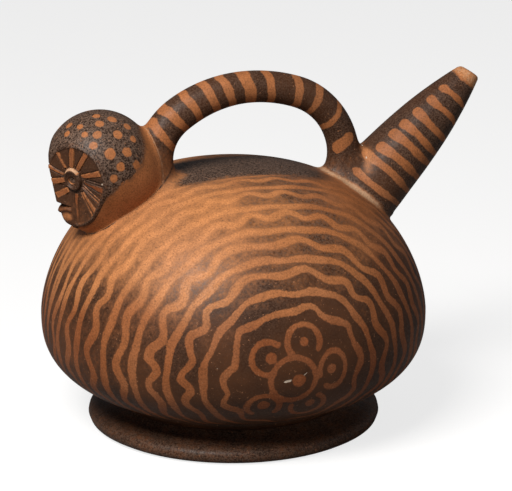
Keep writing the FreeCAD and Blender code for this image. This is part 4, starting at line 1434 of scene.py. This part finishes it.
def eyePoint(side):
    normal, outward, upward = faceAxes(side)
    return np.array(headShape["ridge"]) + outward * eyeShape["out"] - upward * eyeShape["drop"]


def faceSpot(p, side):
    normal, outward, upward = faceAxes(side)
    away = p - eyePoint(side)
    return away @ outward, away @ upward


def onFace(side, a, b, height):
    normal, outward, upward = faceAxes(side)
    flat = np.multiply.outer(a, outward) + np.multiply.outer(b, upward)
    return eyePoint(side) + flat + np.multiply.outer(height, normal)


def makeEyeRing(side, name):
    shape = eyeShape
    ring = turnedPiece(name, shape["ring"], shape["steps"])
    x, y, z = readPoints(ring.data).T
    turns, reach = np.degrees(np.arctan2(y, x)), np.hypot(x, y)
    bared = rampTo(turns, *shape["baredStart"]) * rampTo(turns, *shape["baredEnd"])
    bared = bared * rampTo(reach, *shape["baredReach"])
    shift = rampTo(reach, *shape["shiftReach"])
    shiftX, shiftY = shape["shift"]
    x = x * (1 - shape["narrower"] * shift) + shiftX * shift
    writePoints(ring.data, onFace(side, x, y + shiftY * shift, z))
    if side < 0:
        ring.data.flip_normals()
    inside = reach < shape["hole"]
    bare = np.maximum(bared, inside)
    setPaint(ring.data, toned(shape["paint"], bare), toned(shape["wear"], bare), toned(shape["warm"], bare),
             toned(shape["ash"], bare * ~inside), farOff)
    return ring


discShape = {
    "turns": 420,
    "rings": 84,
    "inner": 3.2,
    "gridInner": 0.1,
    # height of the front, the edge and the back over the face, and how far each keeps inside the skull
    "heights": (0.25, -0.7, -1.8),
    "insets": (0.0, -0.04, 0.9),
    "dish": 0.35,
    "dishReach": (9, 4.5),
    "proud": 0.22,
    "proudEdge": (0.05, -0.25),
    "groove": 0.4,
    "grooveOff": 0.12,
    "grooveHalf": 0.22,
    "crack": 0.4,
    "crackHalf": 0.2,
    "rim": 0.45,
    "rimBreadth": (1.5, 0.7),
    "bareRim": (1.0, 0.5),
    "bevel": 0.35,
    "bevelBreadth": 0.5,
    "byHead": 0.35,
    "offRidge": (0.3, 2.5),
    "slack": 0.06,
    "ridgeGap": 0.02,
    "edgeTurns": 1441,
    "farthest": 40.0,
    "feel": 0.3,
    # what the bare rim adds, and the chip on the left face: middle and halves
    "rimWear": 0.28,
    "rimPaint": 4,
    # grey of the slip on the face and its rim, partly painted sheen
    "ash": (0.1, 0.9),
    "chip": (15.2, -1.4),
    "chipHalves": (0.55, 0.4),
}

# rays of a face: root and tip as places out from the ridge and up from the eye, the width at each, and how
# dull the ray is
faceRays = (
    {"root": (1.1, 5.4), "tip": (4.5, 16.8), "widths": (1.9, 2.6)},
    {"root": (-2.0, 5.2), "tip": (-5.7, 16.4), "widths": (1.2, 1.9)},
    {"root": (3.9, 4.4), "tip": (11.4, 12.9), "widths": (1.8, 2.6)},
    {"root": (5.3, 1.6), "tip": (15.0, 3.1), "widths": (1.8, 2.8)},
    {"root": (5.6, -0.7), "tip": (15.4, -4.6), "widths": (1.0, 3.4), "dull": 1.0},
    {"root": (5.1, -2.0), "tip": (13.6, -9.9), "widths": (0.35, 0.45)},
    {"root": (4.6, -2.9), "tip": (12.6, -11.2), "widths": (0.35, 0.45)},
    {"root": (4.3, -5.0), "tip": (9.2, -14.8), "widths": (0.9, 2.2)},
    {"root": (3.3, -5.3), "tip": (6.9, -16.1), "widths": (0.4, 0.5)},
    {"root": (0.9, -5.6), "tip": (-1.4, -19.3), "widths": (2.1, 0.9), "dull": 0.8},
    {"root": (-2.9, -4.2), "tip": (-9.5, -6.7), "widths": (2.3, 3.0)},
    {"root": (-3.7, 0.1), "tip": (-10.3, -0.6), "widths": (2.2, 2.8)},
    {"root": (-3.6, 2.4), "tip": (-10.4, 6.0), "widths": (1.2, 1.9)},
)
# dark cracks across a face
faceCracks = (
    {"root": (5.4, 1.0), "tip": (15.4, -1.5), "widths": (0.35, 0.45)},
    {"root": (-3.6, -6.0), "tip": (-9.0, -8.4), "widths": (0.3, 0.6)},
)
facePaints = {
    "rayEdge": -0.22,
    "edgeBreadth": 0.16,
    "faded": (1, 13),
    "fadedSlope": 0.35,
    "rayFrom": 0.1,
    "crackHalf": 0.12,
    "dull": (0.4, -0.3),
    "dullPaint": 0.45,
    "dullWarm": -0.25,
    # on the face, and what the faded part and the rays' edges add
    "wear": (0.04, 0.34),
    "warm": (0.20, 0.1, 0.48),
}


def strokeGap(a, b, stroke):
    root, tip = np.array(stroke["root"]), np.array(stroke["tip"])
    length = np.linalg.norm(tip - root)
    run = (tip - root) / length
    along = (a - root[0]) * run[0] + (b - root[1]) * run[1]
    across = np.abs((b - root[1]) * run[0] - (a - root[0]) * run[1])
    share = np.clip(along / length, 0, 1)
    half = (stroke["widths"][0] * (1 - share) + stroke["widths"][1] * share) / 2
    return np.maximum(across - half, np.maximum(-along, along - length))


def facePaint(a, b):
    paint = facePaints
    rays = [strokeGap(a, b, ray) for ray in faceRays]
    gap = np.min(rays, 0)
    cracks = np.min([strokeGap(a, b, crack) for crack in faceCracks], 0)
    edge = np.exp(-((gap - paint["rayEdge"]) / paint["edgeBreadth"]) ** 2)
    faded = rampTo(paint["fadedSlope"] * a - b, *paint["faded"])
    dull = sum(ray.get("dull", 0) * rampTo(away, *paint["dull"]) for ray, away in zip(faceRays, rays))
    colour = np.where(cracks < paint["crackHalf"], plainDark, gap + paint["rayFrom"])
    warm = toned(paint["warm"], faded, edge) + paint["dullWarm"] * dull
    return colour + paint["dullPaint"] * dull, toned(paint["wear"], faded), warm, gap, cracks


def outsideFace(p, side, inset):
    bill, slack = billShape, discShape["slack"]
    half = np.where(p[:, 2] > bill["corner"][1], bill["upper"]["half"], bill["lower"]["half"])
    inBill = (np.abs(p[:, 1]) < half + slack) & (p[:, 2] < bill["top"] + slack)
    return (headGap(p) > -inset) | (p[:, 1] * side > -discShape["ridgeGap"]) | inBill


def discReach(side, turns, height, inset):
    # how far the face runs out from the eye at each turn
    farthest, feel = discShape["farthest"], discShape["feel"]

    def isOutside(reach):
        return outsideFace(onFace(side, reach * np.cos(turns), reach * np.sin(turns), height), side, inset)

    high = np.full(len(turns), farthest)
    for step in np.arange(2.0, farthest, feel)[::-1]:
        high = np.where(isOutside(step), step, high)
    low = high - feel
    for _ in range(6):
        half = (low + high) / 2
        outside = isOutside(half)
        low, high = np.where(outside, low, half), np.where(outside, half, high)
    return low


def discGrid(name):
    # a flat ring of radius 1 whose edges run back: the front at 0, the edge at -1 and the back at -2
    hole = discShape["gridInner"]
    bm = bmesh.new()
    line = [bm.verts.new((share, 0, 0)) for share in np.linspace(hole, 1.0, discShape["rings"])]
    spinRound(bm, line, discShape["turns"], 0.00001)
    edges = [edge for edge in bm.edges if edge.is_boundary]
    for isOuter, depths in ((True, (-1, -2)), (False, (-2,))):
        rim = [edge for edge in edges if (edge.verts[0].co.length > 0.5) == isOuter]
        for depth in depths:
            grown = bmesh.ops.extrude_edge_only(bm, edges=rim)["geom"]
            for vert in (item for item in grown if isinstance(item, bmesh.types.BMVert)):
                vert.co.z = depth
            rim = [item for item in grown if isinstance(item, bmesh.types.BMEdge) and item.is_boundary]
    bmesh.ops.bridge_loops(bm, edges=[edge for edge in bm.edges if edge.is_boundary])
    smoothFaces(bm)
    disc = newPiece(name, bm)
    x, y, z = (readPoints(disc.data) * mm).T
    share = np.clip((np.hypot(x, y) - hole) / (1 - hole), 0, 1)
    return disc, np.rint(-z).astype(int), np.arctan2(y, x), share


def makeDisc(side, name):
    shape = discShape
    disc, level, turns, share = discGrid(name)
    table = np.linspace(-math.pi, math.pi, shape["edgeTurns"])
    reaches = np.array([np.interp(turns, table, discReach(side, table, height, inset))
                        for height, inset in zip(shape["heights"], shape["insets"])])
    edge = reaches[level, np.arange(len(turns))]
    reach = shape["inner"] + (edge - shape["inner"]) * share
    a, b = reach * np.cos(turns), reach * np.sin(turns)
    onEdge = onFace(side, edge * np.cos(turns), edge * np.sin(turns), 0)
    byHead = np.exp(-(headGap(onEdge) / shape["byHead"]) ** 2)
    byHead = byHead * rampTo(np.abs(onEdge[:, 1]), *shape["offRidge"])
    paint, wear, warm, gap, cracks = facePaint(a, b)
    toEdge = (1 - share) * (edge - shape["inner"])
    height = shape["proud"] * rampTo(gap, *shape["proudEdge"])
    height = height - shape["groove"] * np.exp(-((gap - shape["grooveOff"]) / shape["grooveHalf"]) ** 2)
    height = height - shape["crack"] * np.exp(-(np.maximum(cracks, 0) / shape["crackHalf"]) ** 2)
    height = height - shape["dish"] * rampTo(reach, *shape["dishReach"])
    rim = byHead * rampTo(toEdge, *shape["rimBreadth"])
    height = height * (1 - rim) + shape["rim"] * rim
    height = height - shape["bevel"] * np.clip(1 - toEdge / shape["bevelBreadth"], 0, 1) ** 2
    height = np.where(level == 0, height, np.array(shape["heights"])[level])
    writePoints(disc.data, onFace(side, a, b, height))
    if side < 0:
        disc.data.flip_normals()
    rim = np.where(level == 0, byHead * rampTo(toEdge, *shape["bareRim"]), 1)
    chip = farOff
    if side > 0:
        (chipA, chipB), (halfA, halfB) = shape["chip"], shape["chipHalves"]
        chip = np.hypot((a - chipA) / halfA, (b - chipB) / halfB) - 1
    paint, wear = paint * (1 - rim) + shape["rimPaint"] * rim, wear * (1 - rim) + shape["rimWear"] * rim
    setPaint(disc.data, paint, wear, warm, toned(shape["ash"], rim), chip)
    return disc


# the bill seen from the side as (x, z), its lip and its orange spot as places on the face
billShape = {
    "corner": (-72.6, 101.2),
    "upperLip": (-76.8, 102.3),
    "lowerLip": (-75.8, 99.4),
    "top": 110.5,
    "behind": (-1.0, 0.0, -0.33),
    "upper": {"half": 4.6, "back": -71.4, "proud": 0.12, "round": 0.8,
              "low": (-79.6, -4.5, 101.0), "high": (-71.5, 4.5, 110.4)},
    "lower": {"half": 5.6, "back": -69.2, "proud": -0.2, "round": 2.4,
              "low": (-76.6, -5.5, 92.0), "high": (-69.3, 5.5, 100.8)},
    "lip": ((-9.6, -13.6), (-8.4, -13.1), (-6.1, -12.8), (-4.0, -13.4)),
    "lipRadius": 0.8,
    "lipSunk": 0.35,
    "lipRound": 0.5,
    "voxel": 0.3,
    "settles": 8,
    "orange": (-6.9, -16.3),
    "orangeHalves": (2.35, 1.6),
    "orangeWear": 0.52,
    "orangeWarm": (0.62, -0.35),
    # grey of the slip, partly painted sheen
    "ash": 0.1,
}


def lipLevel(p, lip):
    cornerX, cornerZ = billShape["corner"]
    run = np.array(billShape[lip]) - np.array((cornerX, cornerZ))
    run = run / np.linalg.norm(run)
    return (p[:, 0] - cornerX) * run[1] - (p[:, 2] - cornerZ) * run[0]


def billGap(p, part):
    bill, shape = billShape, billShape[part]
    gap = headGap(p)
    for side in (1, -1):
        gap = softCut(gap, shape["proud"] - faceGap(p, side), shape["round"])
    mouth = lipLevel(p, "upperLip") if part == "upper" else -lipLevel(p, "lowerLip")
    gap = softCut(gap, mouth, bill["lipRound"])
    if part == "lower":
        spots = [onFace(1, a, b, -bill["lipSunk"]) for a, b in bill["lip"]]
        gap = softJoin(gap, lineAway(seenSide(p), spots) - bill["lipRadius"], bill["lipRound"])
    for wall in (np.abs(p[:, 1]) - shape["half"], p[:, 2] - bill["top"], p[:, 0] - shape["back"]):
        gap = np.maximum(gap, wall)
    return gap


def makeBill(part, name):
    bill = billShape
    low, high = np.array(bill[part]["low"]), np.array(bill[part]["high"])
    place = Matrix.Translation(Vector((low + high) / 2) * mm) @ Matrix.Diagonal((*(high - low), 1))
    bm = bmesh.new()
    bmesh.ops.create_cube(bm, size=mm, matrix=place)
    mesh = voxelMesh(newPiece(name + "Block", bm), bill["voxel"])
    writePoints(mesh, settle(readPoints(mesh), lambda p: billGap(p, part), bill["settles"]))
    mesh.polygons.foreach_set("use_smooth", [True] * len(mesh.polygons))
    a, b = faceSpot(seenSide(readPoints(mesh)), 1)
    paint, wear, warm = facePaint(a, b)[:3]
    if part == "lower":
        (orangeA, orangeB), (halfA, halfB) = bill["orange"], bill["orangeHalves"]
        paint = (np.hypot((a - orangeA) / halfA, (b - orangeB) / halfB) - 1) * halfB
        wear, warm = bill["orangeWear"], toned(bill["orangeWarm"], rampTo(paint, 0, 0.5))
    setPaint(mesh, paint, wear, warm, bill["ash"], farOff)
    return putInScene(name, mesh)


slots = {
    "painted_body": ("lower_bowl", "upper_dome"),
    "dark_slip": ("foot_ring", "foot_luting"),
    "spotted_slip": ("head_dome",),
    "face_slip": ("face_disc_left", "face_disc_right", "eye_ring_left", "eye_ring_right", "upper_beak"),
    "orange_slip": ("lower_beak",),
    "red_slip": ("neck_luting", "bridge_head_luting", "bridge_spout_luting", "spout_luting"),
    "banded_slip": ("bridge", "spout"),
}

addCamera()
addStudio()
skin = grownSkin()
print("skin grown", len(skin.data.polygons))
pieces = cutToPieces(skin)
for name, piece in pieces.items():
    closeAndSmooth(piece, name)
    paintSkin(piece)
print("skin cut into pieces and painted")
pieces["foot_ring"] = makeFoot("foot_ring_clay", "ring")
pieces["foot_luting"] = makeFoot("foot_luting_clay", "coil")
for side, word in ((1, "left"), (-1, "right")):
    pieces["face_disc_" + word] = makeDisc(side, "face_disc_%s_clay" % word)
    pieces["eye_ring_" + word] = makeEyeRing(side, "eye_ring_%s_clay" % word)
for part in ("upper", "lower"):
    pieces[part + "_beak"] = makeBill(part, part + "_beak_clay")
print("face and foot made")
group = slipGroup()
for slot, names in slots.items():
    material = slipMaterial(slot, group)
    for name in names:
        pieces[name].data.materials.append(material)
        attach(pieces[name], "root")
        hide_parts(name)
print("pieces placed")

bpy.context.scene.view_settings.view_transform = "Standard"
